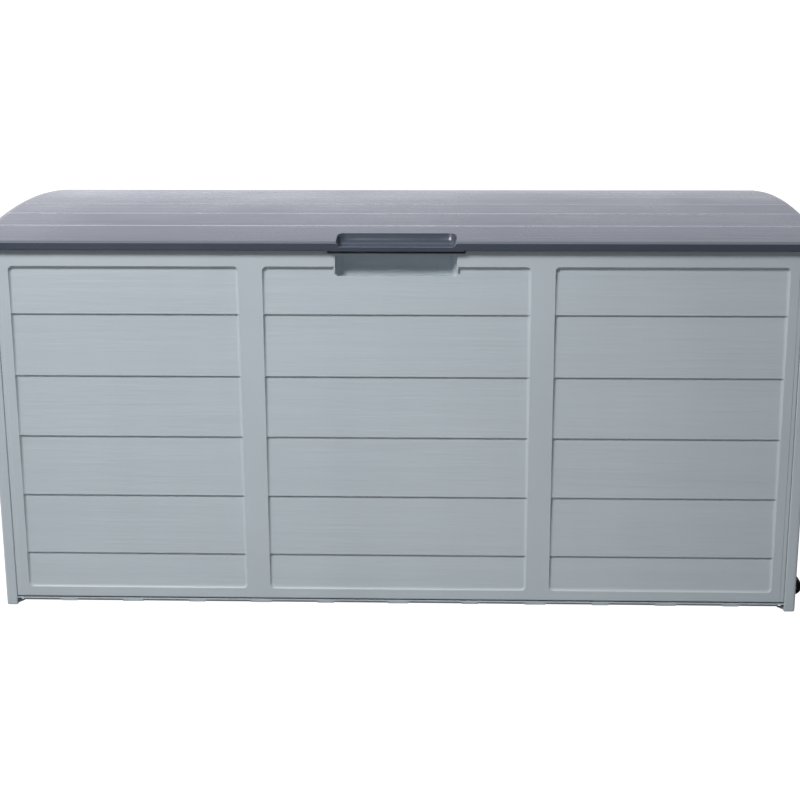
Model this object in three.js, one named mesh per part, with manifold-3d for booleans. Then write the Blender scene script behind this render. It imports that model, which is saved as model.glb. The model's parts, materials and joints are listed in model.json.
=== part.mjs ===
// A deck storage box: four moulded wall panels on corner legs, a floor, an arched lid on three
// hinges, and two small wheels at the right end.
// Millimetres. +X runs right along the front, +Y to the back and +Z up. The origin is on the ground
// under the middle of the lid.
import * as THREE from "three";
import { mergeVertices } from "three/addons/utils/BufferGeometryUtils.js";
import Module from "manifold-3d";

const wasm = await Module();
wasm.setup();

// ---------------------------------------------------------------- driving dimensions
const GAP = 0.3; // clearance between pieces that touch

const BODY = { length: 1105, depth: 474, top: 509, panelBottom: 14 };
const WALL = { skin: 3.5, rib: 3.2, rimDepth: 12, bottomRim: 15, sideRim: 20, fieldRim: 8 };
const BITE = 0.5; // how far a boss runs into the skin it stands on
const POST = { width: 15.5, depth: 22, padHeight: 4, corner: 2.5 };

// Clapboard fields: each board leans in from its lower edge to its upper edge.
const BOARD = { skin: 3, proud: 0.8, deep: 3.2 };
const FIELD = { bottom: 28.25, top: 486.5 };
const LAPS = [79.1, 164.6, 249.7, 335.2, 421.1];
const LONG_FIELDS = [
  [-518.75, -210.5],
  [-178.5, 178.5],
  [210.5, 518.75],
];
const END_FIELDS = [[-198.5, 198.5]];

const GRIP = {
  bottom: 472.75,
  top: 502.5,
  straight: 0.75,
  depth: 26,
  floorFall: 6,
  draft: 8,
  wall: 3,
  collar: 4.5,
};
const FRONT_GRIP_HALF = 81.5;
const END_GRIP_HALF = 60;
const GRIP_NOTCH = { half: 91.5, bottom: 505.25 };

// Round the floor plate runs a thin flange, below a gap under the walls. A rim hangs behind its
// edge, and tabs stand on the rim's face.
const FLOOR = { top: 13.7, thickness: 3.5, bottom: 7.4, plateInset: 8 };
const FLANGE = { top: 11.9, thickness: 1.3, tabInner: 6.5, rimOuter: 6, rimInner: 7.5, rimBottom: 5.75 };
const FLOOR_RIB = { width: 2.5, lift: 1, ends: 530, acrossPitch: 264 };
const TAB_PLACES = [0, 101, 192, 282.5, 373, 463];
const TAB_WIDTHS = [29, 23, 29, 23, 29, 22.5];

const LID = { length: 1120, depth: 490, crest: 537, edgeTop: 520.5, edgeBottom: 510, wall: 3.5 };
const LID_RIB = { width: 3, depth: 8, acrossPitch: 220, alongPitch: 75, end: 231 };
const LANDING = { y: 232.5, x: 548, width: 3.5, bottom: BODY.top + GAP };
const SCOOP = { half: 80, shellHalf: 84, back: -202, heel: -212, floor: 511.5, lipTop: 514.8 };
const SCOOP_LIP = { half: 91, bottom: 508.4 };

const HINGE = { places: [-380, 0, 380], y: 241.3, z: 504.5, knuckleR: 3.7, half: 30, lidHalf: 14.9 };
const HINGE_PIN = { r: 1.5, boreR: 1.6, headR: 2.4, headLength: 1.2 };
const BRACKET = { y0: 237.3, y1: 239.8, z0: 486.5, z1: 500.2, screwX: 20, screwZ: 492.5 };
const BRACKET_BOSS = { half: 28, depth: 11, top: 502, floor: 2.5 };
const LEAF = { y0: 238.4, y1: 241.2, top: 517.2, screwX: 9, screwZ: 513.6, skinLeft: 1.2 };

const SCREW = { r: 1.5, headR: 3, headLength: 1.6, holeR: 1.8 };
const WALL_SCREW = { length: 9.5 };
const LID_SCREW = { length: 5.4, headR: 2.4 };
const CORNER_SCREW = { heights: [80, 265, 450], inset: 14, length: 12.3, bossHalf: 7, holeFloor: 5 };
const FLOOR_SCREW = {
  places: [-450, -150, 150, 450],
  inset: 11,
  length: 14,
  headR: 2.6,
  bossHalf: 5,
  bossHeight: 13,
  holeHeight: 11,
};

const WHEEL = { x: 559, y: 180, z: 18, r: 12.4, width: 20, boreR: 2.1, chamfer: 2, clear: 2.3 };
const AXLE = { r: 2, headR: 3, headLength: 1.5 };
const CLIP = { r: 3.2, length: 3, cap: 0.9, play: 0.3 };
const WELL = { half: 14.3, cavityHalf: 11.3, top: 37, depth: 12, wall: 2.8 };
const LUG = { r: 3.6, height: 12, steps: 8 };
const GUSSET = { reach: 8, bottom: 0.5, top: 5.2, tip: 0.8, inset: 7, thickness: 4 };

const ROUND_SIDES = 16; // sides on hinge pins, knuckles and their bores
const WHEEL_SIDES = 24; // sides on wheels, axles and clips
const SCREW_SIDES = 8;
const LID_ARC_STEPS = 12;
const LID_RIB_STEPS = 6;

const halfLength = BODY.length / 2;
const halfDepth = BODY.depth / 2;
const panelHalf = halfLength - POST.width - GAP;

// ---------------------------------------------------------------- materials
const plastic = (name, color, roughness) =>
  new THREE.MeshStandardMaterial({ name, color, roughness, metalness: 0 });
const bodyPlastic = plastic("body_plastic", 0xa9b3b9, 0.5);
const lidPlastic = plastic("lid_plastic", 0x4a5160, 0.38);
const wheelPlastic = plastic("wheel_plastic", 0x1b1b1d, 0.45);
const steel = new THREE.MeshStandardMaterial({
  name: "steel",
  color: 0xb4b6b8,
  roughness: 0.35,
  metalness: 1,
});

// ---------------------------------------------------------------- solids
const X = new THREE.Vector3(1, 0, 0);
const Y = new THREE.Vector3(0, 1, 0);
const Z = new THREE.Vector3(0, 0, 1);

// A closed three.js geometry as a solid, with its shared corners merged.
function solid(geometry) {
  const bare = geometry.clone();
  bare.deleteAttribute("normal");
  bare.deleteAttribute("uv");
  const merged = mergeVertices(bare, 1e-4);
  return new wasm.Manifold(
    new wasm.Mesh({
      numProp: 3,
      vertProperties: merged.attributes.position.array,
      triVerts: new Uint32Array(merged.index.array),
    }),
  );
}

function block(x0, x1, y0, y1, z0, z1) {
  const box = new THREE.BoxGeometry(x1 - x0, y1 - y0, z1 - z0);
  return solid(box.translate((x0 + x1) / 2, (y0 + y1) / 2, (z0 + z1) / 2));
}

// An outline of [u, v] points carried along an axis from a to b.
function prism(outline, across, up, along, start, length) {
  const shape = new THREE.Shape(outline.map(([u, v]) => new THREE.Vector2(u, v)));
  const body = new THREE.ExtrudeGeometry(shape, { depth: length, bevelEnabled: false });
  const turn = new THREE.Matrix4().makeBasis(across, up, along).setPosition(start);
  return solid(body.applyMatrix4(turn));
}
const prismX = (outline, x0, x1) => prism(outline, Y, Z, X, new THREE.Vector3(x0, 0, 0), x1 - x0);

// A round bar through a centre along one axis, from a to b.
function bar(axis, centre, a, b, r, sides = ROUND_SIDES) {
  const rod = new THREE.CylinderGeometry(r, r, b - a, sides);
  const turn = new THREE.Quaternion().setFromUnitVectors(Y, axis);
  const middle = centre.clone().addScaledVector(axis, (a + b) / 2);
  return solid(rod.applyMatrix4(new THREE.Matrix4().compose(middle, turn, new THREE.Vector3(1, 1, 1))));
}
const barX = (y, z, a, b, r, sides) => bar(X, new THREE.Vector3(0, y, z), a, b, r, sides);
const barY = (x, z, a, b, r, sides) => bar(Y, new THREE.Vector3(x, 0, z), a, b, r, sides);
const barZ = (x, y, a, b, r, sides) => bar(Z, new THREE.Vector3(x, y, 0), a, b, r, sides);

// A block whose near face and far face, across Y, are different rectangles { y, half, z0, z1 }.
function tapered(near, far) {
  const box = new THREE.BoxGeometry(1, 1, 1);
  const at = box.attributes.position;
  for (let i = 0; i < at.count; i++) {
    const face = at.getY(i) < 0 ? near : far;
    const z = at.getZ(i) < 0 ? face.z0 : face.z1;
    at.setXYZ(i, Math.sign(at.getX(i)) * face.half, face.y, z);
  }
  return solid(box);
}

const ordered = (a, b) => (a < b ? [a, b] : [b, a]);
const join = (pieces) => pieces.reduce((all, piece) => all.add(piece));
const cut = (body, pieces) => pieces.reduce((left, piece) => left.subtract(piece), body);

function named(name, body, material) {
  const { vertProperties, triVerts } = body.getMesh();
  const geometry = new THREE.BufferGeometry();
  geometry.setAttribute("position", new THREE.BufferAttribute(vertProperties, 3));
  geometry.setIndex(new THREE.BufferAttribute(triVerts, 1));
  const mesh = new THREE.Mesh(geometry, material);
  mesh.name = name;
  return mesh;
}

// ---------------------------------------------------------------- wall panels
// A panel is made in its own frame: x along the wall, y inwards from the outer face, z up.

// The clapboard skin of one field, in section: outer face up, then inner face down.
function boardSection() {
  const edges = [FIELD.bottom, ...LAPS, FIELD.top];
  const outer = [];
  const inner = [];
  edges.slice(1).forEach((top, i) => {
    const last = i === edges.length - 2;
    outer.push([BOARD.proud, edges[i]], [BOARD.deep, top]);
    inner.push([BOARD.proud + BOARD.skin, edges[i] + (i ? BOARD.skin : 0)]);
    inner.push([BOARD.deep + BOARD.skin, top + (last ? 0 : BOARD.skin)]);
  });
  return [...outer, ...inner.reverse()];
}

// A ring of wall around a rectangle: the band from inner to outer, from the face to a depth.
function rim(x0, x1, z0, z1, width, depth) {
  const outer = block(x0 - width, x1 + width, 0, depth, z0 - width, z1 + width);
  return outer.subtract(block(x0, x1, -1, depth + 1, z0, z1));
}

function clapboards(fields) {
  return fields.flatMap(([x0, x1]) => [
    rim(x0, x1, FIELD.bottom, FIELD.top, WALL.rib, WALL.fieldRim),
    prismX(boardSection(), x0 - 1, x1 + 1),
  ]);
}

const fieldHoles = (fields) =>
  fields.map(([x0, x1]) => block(x0, x1, -1, WALL.skin + 1, FIELD.bottom, FIELD.top));

// The pocket behind a finger grip. It starts behind the boards, which run up to the grip's mouth.
function gripShell(half) {
  const z1 = GRIP.top + 2;
  const near = { y: BOARD.deep, half: half + GRIP.collar, z0: GRIP.bottom - GRIP.collar, z1 };
  const far = {
    y: GRIP.depth + GRIP.wall,
    half: half - GRIP.draft + GRIP.wall,
    z0: GRIP.bottom - GRIP.floorFall - GRIP.wall,
    z1,
  };
  return tapered(near, far);
}

function gripHollow(half) {
  const near = { y: 0, half, z0: GRIP.bottom, z1: GRIP.top };
  const far = {
    y: GRIP.depth,
    half: half - GRIP.draft,
    z0: GRIP.bottom - GRIP.floorFall,
    z1: GRIP.top - 1,
  };
  // A short straight mouth in front of the taper keeps the cut clear of the outer face.
  return tapered(near, far).add(block(-half, half, -1, GRIP.straight, GRIP.bottom, GRIP.top));
}

// A long panel with its side returns, corner screw holes and floor screw bosses.
function longPanel() {
  const { panelBottom: low, top } = BODY;
  const half = panelHalf;
  const plate = cut(block(-half, half, 0, WALL.skin, low, top), fieldHoles(LONG_FIELDS));
  const topRim = block(-half, half, 0, WALL.rimDepth, top - WALL.rib, top);
  const bottomRim = block(-half, half, 0, WALL.bottomRim, low, low + WALL.rib);
  const sideRims = [-1, 1].map((side) =>
    block(...ordered(side * (half - WALL.rib), side * half), 0, WALL.sideRim, low, top),
  );
  const { bossHalf, bossHeight, holeHeight } = FLOOR_SCREW;
  const bosses = FLOOR_SCREW.places.map((x) =>
    block(x - bossHalf, x + bossHalf, WALL.skin - BITE, WALL.bottomRim, low, low + bossHeight),
  );
  const body = join([plate, topRim, bottomRim, ...sideRims, ...clapboards(LONG_FIELDS), ...bosses]);
  const cornerHoles = CORNER_SCREW.heights.flatMap((z) =>
    [-1, 1].map((side) => {
      const ends = ordered(side * (half - WALL.rib - 1), side * (half + 1));
      return barX(CORNER_SCREW.inset, z, ...ends, SCREW.holeR, SCREW_SIDES);
    }),
  );
  const floorHoles = FLOOR_SCREW.places.map((x) =>
    barZ(x, FLOOR_SCREW.inset, low - 1, low + holeHeight, SCREW.holeR, SCREW_SIDES),
  );
  return cut(body, [...cornerHoles, ...floorHoles]);
}

function frontPanel() {
  const shell = longPanel().add(gripShell(FRONT_GRIP_HALF));
  const notch = block(-GRIP_NOTCH.half, GRIP_NOTCH.half, -1, 40, GRIP_NOTCH.bottom, BODY.top + 1);
  return cut(shell, [gripHollow(FRONT_GRIP_HALF), notch]);
}

function backPanel() {
  const { half, depth, top, floor } = BRACKET_BOSS;
  const bosses = HINGE.places.map((x) =>
    block(x - half, x + half, WALL.skin - BITE, depth, FIELD.top, top),
  );
  const holes = hingeScrewPlaces(BRACKET.screwX).map((x) =>
    barY(x, BRACKET.screwZ, -1, depth - floor, SCREW.holeR, SCREW_SIDES),
  );
  return cut(join([longPanel(), ...bosses]), holes);
}

// The x of each hinge screw, two to a leaf.
function hingeScrewPlaces(offset) {
  return HINGE.places.flatMap((x) => [x - offset, x + offset]);
}

// One corner post: a channel open towards the middle of the end, on a solid foot pad.
function cornerPost(side) {
  const outer = side * halfDepth;
  const inner = side * (halfDepth - POST.depth);
  const faceInner = side * (halfDepth - WALL.skin);
  const across = ordered(inner, outer);
  const outerWall = block(...across, 0, WALL.skin, 0, BODY.top);
  const faceWall = block(...ordered(faceInner, outer), 0, POST.width, 0, BODY.top);
  const innerWall = block(...across, POST.width - WALL.skin, POST.width, 0, BODY.top);
  const pad = block(...across, 0, POST.width, 0, POST.padHeight);
  const bosses = CORNER_SCREW.heights.map((z) => {
    const middle = side * (halfDepth - CORNER_SCREW.inset);
    const half = CORNER_SCREW.bossHalf;
    return block(middle - half, middle + half, WALL.skin - BITE, POST.width - 1, z - half, z + half);
  });
  const gussetY = side * (halfDepth - GUSSET.inset - GUSSET.thickness / 2);
  const gusset = prismX(
    [
      [POST.width - 1, GUSSET.bottom],
      [POST.width + GUSSET.reach, GUSSET.top - GUSSET.tip],
      [POST.width + GUSSET.reach, GUSSET.top],
      [POST.width - 1, GUSSET.top],
    ],
    gussetY - GUSSET.thickness / 2,
    gussetY + GUSSET.thickness / 2,
  );
  const chamfer = prismX(
    [
      [-1, -1],
      [POST.corner, -1],
      [0, POST.corner],
      [-1, POST.corner],
    ],
    -halfDepth - 1,
    halfDepth + 1,
  );
  const holes = CORNER_SCREW.heights.map((z) =>
    barY(
      side * (halfDepth - CORNER_SCREW.inset),
      z,
      CORNER_SCREW.holeFloor,
      POST.width + 1,
      SCREW.holeR,
      SCREW_SIDES,
    ),
  );
  return cut(join([outerWall, faceWall, innerWall, pad, ...bosses, gusset]), [chamfer, ...holes]);
}

function endPanel() {
  const { panelBottom: low, top } = BODY;
  const half = halfDepth - 1;
  const inside = halfDepth - POST.depth + 1;
  const plate = cut(block(-half, half, 0, WALL.skin, low, top), fieldHoles(END_FIELDS));
  const topRim = block(-inside, inside, 0, WALL.rimDepth, top - WALL.rib, top);
  const bottomRim = block(-inside, inside, 0, WALL.rimDepth, low, low + WALL.rib);
  const shell = [plate, topRim, bottomRim, ...clapboards(END_FIELDS), gripShell(END_GRIP_HALF)];
  const body = join([...shell, cornerPost(-1), cornerPost(1)]);
  return body.subtract(gripHollow(END_GRIP_HALF));
}

// The right end also has a well and two lugs at each wheel.
function wheeledEndPanel() {
  const low = BODY.panelBottom;
  const axleDepth = halfLength - WHEEL.x;
  const wells = [];
  const hollows = [];
  const bores = [];
  for (const y of [-WHEEL.y, WHEEL.y]) {
    wells.push(block(y - WELL.half, y + WELL.half, 0, WELL.depth, low, WELL.top));
    const reach = WELL.depth - WELL.wall;
    hollows.push(block(y - WELL.cavityHalf, y + WELL.cavityHalf, -1, reach, low - 1, WELL.top - WELL.wall));
    for (const side of [-1, 1]) {
      const arc = Array.from({ length: LUG.steps + 1 }, (_, i) => {
        const angle = Math.PI / 2 + (i / LUG.steps) * Math.PI;
        return [axleDepth + LUG.r * Math.cos(angle), WHEEL.z + LUG.r * Math.sin(angle)];
      });
      const outline = [...arc, [WALL.skin, low], [WALL.skin, low + LUG.height]];
      wells.push(prismX(outline, ...ordered(y + side * WELL.cavityHalf, y + side * WELL.half)));
    }
    bores.push(barX(axleDepth, WHEEL.z, y - WELL.half - 1, y + WELL.half + 1, AXLE.r + GAP, SCREW_SIDES));
  }
  return cut(join([endPanel(), ...wells]), [...hollows, ...bores]);
}

// ---------------------------------------------------------------- floor
function floorPanel() {
  const under = FLOOR.top - FLOOR.thickness;
  const plateY = halfDepth - FLOOR.plateInset;
  const endX = halfLength - WALL.skin - GAP;
  const cornerY = halfDepth - POST.depth - GAP;
  const plate = block(-panelHalf, panelHalf, -plateY, plateY, under, FLOOR.top);
  const ends = block(-endX, endX, -cornerY, cornerY, under, FLOOR.top);
  const flangeUnder = FLANGE.top - FLANGE.thickness;
  const flange = block(-panelHalf, panelHalf, -halfDepth, halfDepth, flangeUnder, FLANGE.top);
  const edges = [];
  for (const side of [-1, 1]) {
    const rimY = ordered(side * (halfDepth - FLANGE.rimInner), side * (halfDepth - FLANGE.rimOuter));
    edges.push(block(-FLOOR_RIB.ends, FLOOR_RIB.ends, ...rimY, FLANGE.rimBottom, flangeUnder + BITE));
    const tabY = ordered(side * (halfDepth - FLANGE.tabInner), side * halfDepth);
    TAB_PLACES.forEach((place, i) => {
      const half = TAB_WIDTHS[i] / 2;
      for (const x of place ? [-place, place] : [0]) {
        edges.push(block(x - half, x + half, ...tabY, FLOOR.bottom, flangeUnder + BITE));
      }
    });
  }
  const half = FLOOR_RIB.width / 2;
  const ribs = [block(-FLOOR_RIB.ends, FLOOR_RIB.ends, -half, half, FLOOR.bottom, under + 1)];
  const ribY = halfDepth - FLANGE.rimInner + BITE;
  const ribBottom = FLOOR.bottom + FLOOR_RIB.lift;
  for (const x of [-2, -1, 0, 1, 2].map((i) => i * FLOOR_RIB.acrossPitch)) {
    ribs.push(block(x - half, x + half, -ribY, ribY, ribBottom, under + BITE));
  }
  const notchX = WHEEL.x - WHEEL.r - WHEEL.clear;
  const wheelNotches = [-WHEEL.y, WHEEL.y].map((y) =>
    block(notchX, halfLength, y - WELL.half - 1, y + WELL.half + 1, 0, 2 * FLOOR.top),
  );
  const holes = [-1, 1].flatMap((side) =>
    FLOOR_SCREW.places.map((x) =>
      barZ(x, side * (halfDepth - FLOOR_SCREW.inset), 0, 2 * FLOOR.top, SCREW.holeR, SCREW_SIDES),
    ),
  );
  return cut(join([plate, ends, flange, ...edges, ...ribs]), [...wheelNotches, ...holes]);
}

// ---------------------------------------------------------------- lid
const lidRise = LID.crest - LID.edgeTop;
const lidRadius = ((LID.depth / 2) ** 2 + lidRise ** 2) / (2 * lidRise);

// Height of the lid's arc at y, for a surface set in by some depth.
function lidHeight(y, depth = 0) {
  return LID.crest - lidRadius + Math.sqrt((lidRadius - depth) ** 2 - y ** 2);
}

// Points along the lid's arc from -half to half.
function lidArc(half, depth = 0, steps = LID_ARC_STEPS) {
  return Array.from({ length: steps + 1 }, (_, i) => {
    const y = -half + (2 * half * i) / steps;
    return [y, lidHeight(y, depth)];
  });
}

function lidBody() {
  const half = LID.depth / 2;
  const end = LID.length / 2;
  const innerHalf = half - LID.wall;
  const shell = prismX([[-half, LID.edgeBottom], ...lidArc(half), [half, LID.edgeBottom]], -end, end);
  const low = LID.edgeBottom - 5;
  const inside = [[-innerHalf, low], ...lidArc(innerHalf, LID.wall), [innerHalf, low]];
  return shell.subtract(prismX(inside, -end + LID.wall, end - LID.wall));
}

// Ribs under the skin, front to back and end to end, and the ring that lands on the walls.
function lidRibs() {
  const into = LID.wall - 1;
  const under = LID.wall + LID_RIB.depth;
  const arc = (half, depth) => lidArc(half, depth, LID_RIB_STEPS);
  const across = [...arc(LID_RIB.end, into), ...arc(LID_RIB.end, under).reverse()];
  const half = LID_RIB.width / 2;
  const ribs = [];
  for (let i = -2; i <= 2; i++) {
    const place = i * LID_RIB.acrossPitch;
    ribs.push(prismX(across, place - half, place + half));
  }
  for (const y of [-2, 0, 2].map((i) => i * LID_RIB.alongPitch)) {
    const z = lidHeight(Math.abs(y) + half, under);
    ribs.push(block(-LANDING.x + 1, LANDING.x - 1, y - half, y + half, z, lidHeight(y, into)));
  }
  const { y: ringY, x: ringX, width, bottom } = LANDING;
  const end = [[-ringY, bottom], ...arc(ringY, into), [ringY, bottom]];
  ribs.push(prismX(end, -ringX, -ringX + width), prismX(end, ringX - width, ringX));
  const sideTop = lidHeight(ringY, into);
  ribs.push(block(-ringX, ringX, -ringY, -ringY + width, bottom, sideTop));
  ribs.push(block(-ringX, ringX, ringY - width, ringY, bottom, sideTop));
  return ribs;
}

function lid() {
  const front = -LID.depth / 2;
  const shell = prismX(
    [
      [front, SCOOP_LIP.bottom],
      [SCOOP.heel + 3.5, SCOOP_LIP.bottom],
      [SCOOP.back + 5, lidHeight(SCOOP.back, LID.wall - 1)],
      [front, LID.edgeTop - 2.5],
    ],
    -SCOOP.shellHalf,
    SCOOP.shellHalf,
  );
  const lip = block(
    -SCOOP_LIP.half,
    SCOOP_LIP.half,
    front,
    front + LID.wall,
    SCOOP_LIP.bottom,
    LID.edgeBottom + 1,
  );
  const above = LID.crest + 5;
  const hollow = prismX(
    [
      [front + LID.wall, SCOOP.floor],
      [SCOOP.heel, SCOOP.floor],
      [SCOOP.back, lidHeight(SCOOP.back)],
      [SCOOP.back, above],
      [front - 1, above],
      [front - 1, SCOOP.lipTop],
      [front + LID.wall, SCOOP.lipTop],
    ],
    -SCOOP.half,
    SCOOP.half,
  );
  const screwHoles = hingeScrewPlaces(LEAF.screwX).map((x) =>
    barY(x, LEAF.screwZ, LEAF.y1, LID.depth / 2 - LEAF.skinLeft, SCREW.holeR, SCREW_SIDES),
  );
  return cut(join([lidBody(), ...lidRibs(), shell, lip]), [hollow, ...screwHoles]);
}

// ---------------------------------------------------------------- hinges
function hingeBracket(x) {
  const { y, z, knuckleR, half, lidHalf } = HINGE;
  const plate = block(x - half, x + half, BRACKET.y0, BRACKET.y1, BRACKET.z0, BRACKET.z1);
  const pieces = [plate];
  for (const side of [-1, 1]) {
    const ends = [x + side * (lidHalf + GAP), x + side * half].sort((a, b) => a - b);
    pieces.push(barX(y, z, ...ends, knuckleR));
    pieces.push(block(...ends, BRACKET.y0 + 0.4, BRACKET.y1, BRACKET.z1 - 1, z));
  }
  const holes = [-1, 1].map((side) =>
    barY(x + side * BRACKET.screwX, BRACKET.screwZ, BRACKET.y0 - 1, BRACKET.y1 + 1, SCREW.holeR, SCREW_SIDES),
  );
  return cut(join(pieces), [barX(y, z, x - half - 1, x + half + 1, HINGE_PIN.boreR), ...holes]);
}

function hingeLeaf(x) {
  const { y, z, knuckleR, lidHalf } = HINGE;
  const knuckle = barX(y, z, x - lidHalf, x + lidHalf, knuckleR);
  const blade = block(x - lidHalf, x + lidHalf, LEAF.y0, LEAF.y1, z + 2, LEAF.top);
  const holes = [-1, 1].map((side) =>
    barY(x + side * LEAF.screwX, LEAF.screwZ, LEAF.y0 - 1, LEAF.y1 + 1, SCREW.holeR, SCREW_SIDES),
  );
  return cut(knuckle.add(blade), [barX(y, z, x - lidHalf - 1, x + lidHalf + 1, HINGE_PIN.boreR), ...holes]);
}

function hingePin(x) {
  const { y, z, half } = HINGE;
  const start = new THREE.Vector3(x + half + GAP, y, z);
  const length = 2 * half + GAP + 2;
  return headedPin(start, X.clone().negate(), { ...HINGE_PIN, length }, ROUND_SIDES);
}

// A headed pin from a point along an axis: its head ends at the point and its shank starts there.
function headedPin(start, axis, { r, length, headR, headLength }, sides) {
  const profile = [
    [0, -headLength],
    [headR, -headLength],
    [headR, 0],
    [r, 0],
    [r, length],
    [0, length],
  ].map(([radius, along]) => new THREE.Vector2(radius, along));
  const turn = new THREE.Quaternion().setFromUnitVectors(Y, axis);
  const place = new THREE.Matrix4().compose(start, turn, new THREE.Vector3(1, 1, 1));
  return solid(new THREE.LatheGeometry(profile, sides).applyMatrix4(place));
}

const screw = (start, axis, length, headR = SCREW.headR) =>
  headedPin(start, axis, { r: SCREW.r, length, headR, headLength: SCREW.headLength }, SCREW_SIDES);

// ---------------------------------------------------------------- wheels
function wheel(y) {
  const half = WHEEL.width / 2;
  const profile = [
    [WHEEL.boreR, -half],
    [WHEEL.r - WHEEL.chamfer, -half],
    [WHEEL.r, -half + WHEEL.chamfer],
    [WHEEL.r, half - WHEEL.chamfer],
    [WHEEL.r - WHEEL.chamfer, half],
    [WHEEL.boreR, half],
    [WHEEL.boreR, -half],
  ].map(([r, along]) => new THREE.Vector2(r, along));
  return solid(new THREE.LatheGeometry(profile, WHEEL_SIDES).translate(WHEEL.x, y, WHEEL.z));
}

function axle(y) {
  const start = new THREE.Vector3(WHEEL.x, y - WELL.half - GAP, WHEEL.z);
  const length = 2 * WELL.half + 2 * GAP + CLIP.length - CLIP.cap - CLIP.play;
  return headedPin(start, Y, { ...AXLE, length }, WHEEL_SIDES);
}

function axleClip(y) {
  const near = y + WELL.half + GAP;
  const end = near + CLIP.length;
  const cap = barY(WHEEL.x, WHEEL.z, near, end, CLIP.r, WHEEL_SIDES);
  return cap.subtract(barY(WHEEL.x, WHEEL.z, near - 1, end - CLIP.cap, AXLE.r + GAP, WHEEL_SIDES));
}

// ---------------------------------------------------------------- assembly
const box = new THREE.Group();

function place(mesh, x, y, turn) {
  mesh.position.set(x, y, 0);
  mesh.rotation.z = turn;
  box.add(mesh);
}

place(named("front_panel", frontPanel(), bodyPlastic), 0, -halfDepth, 0);
place(named("back_panel", backPanel(), bodyPlastic), 0, halfDepth, Math.PI);
place(named("left_end_panel", endPanel(), bodyPlastic), -halfLength, 0, -Math.PI / 2);
place(named("right_end_panel", wheeledEndPanel(), bodyPlastic), halfLength, 0, Math.PI / 2);
box.add(named("floor_panel", floorPanel(), bodyPlastic));
box.add(named("lid", lid(), lidPlastic));

const HINGE_NAMES = ["left", "middle", "right"];
HINGE.places.forEach((x, i) => {
  const name = `${HINGE_NAMES[i]}_hinge`;
  box.add(named(`${name}_bracket`, hingeBracket(x), bodyPlastic));
  box.add(named(`${name}_leaf`, hingeLeaf(x), lidPlastic));
  box.add(named(`${name}_pin`, hingePin(x), steel));
  [-1, 1].forEach((side, j) => {
    const inward = Y.clone().negate();
    const wallStart = new THREE.Vector3(x + side * BRACKET.screwX, BRACKET.y1 + GAP, BRACKET.screwZ);
    const lidStart = new THREE.Vector3(x + side * LEAF.screwX, LEAF.y0 - GAP, LEAF.screwZ);
    box.add(named(`${name}_wall_screw_${j + 1}`, screw(wallStart, inward, WALL_SCREW.length), steel));
    const lidScrew = screw(lidStart, Y, LID_SCREW.length, LID_SCREW.headR);
    box.add(named(`${name}_lid_screw_${j + 1}`, lidScrew, steel));
  });
});

for (const [endName, endSide] of [["left", -1], ["right", 1]]) {
  for (const [wallName, wallSide] of [["front", -1], ["back", 1]]) {
    CORNER_SCREW.heights.forEach((z, i) => {
      const x = endSide * (panelHalf - WALL.rib - GAP);
      const y = wallSide * (halfDepth - CORNER_SCREW.inset);
      const axis = X.clone().multiplyScalar(endSide);
      const body = screw(new THREE.Vector3(x, y, z), axis, CORNER_SCREW.length);
      box.add(named(`${wallName}_${endName}_corner_screw_${i + 1}`, body, steel));
    });
  }
}

for (const [wallName, wallSide] of [["front", -1], ["back", 1]]) {
  FLOOR_SCREW.places.forEach((x, i) => {
    const y = wallSide * (halfDepth - FLOOR_SCREW.inset);
    const start = new THREE.Vector3(x, y, FLOOR.top - FLOOR.thickness - GAP);
    const body = screw(start, Z, FLOOR_SCREW.length, FLOOR_SCREW.headR);
    box.add(named(`${wallName}_floor_screw_${i + 1}`, body, steel));
  });
}

for (const [name, y] of [["front", -WHEEL.y], ["rear", WHEEL.y]]) {
  box.add(named(`${name}_wheel`, wheel(y), wheelPlastic));
  box.add(named(`${name}_axle`, axle(y), steel));
  box.add(named(`${name}_axle_clip`, axleClip(y), wheelPlastic));
}

export default box;
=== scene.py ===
"""The looks of a deck storage box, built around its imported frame.

The box has four moulded clapboard walls, corner legs, an arched plank lid on three hinges, a floor,
and two wheels at the right end. Shapes are worked out in millimetres, in the frame's own axes: +X
right along the front, +Y to the back, +Z up, and the ground under the middle of the lid at zero.
"""

import json
import logging
import math
from dataclasses import dataclass, field
from enum import Enum
from typing import Sequence

import bmesh
import bpy
import numpy as np
from mathutils import Matrix, Vector

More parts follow.
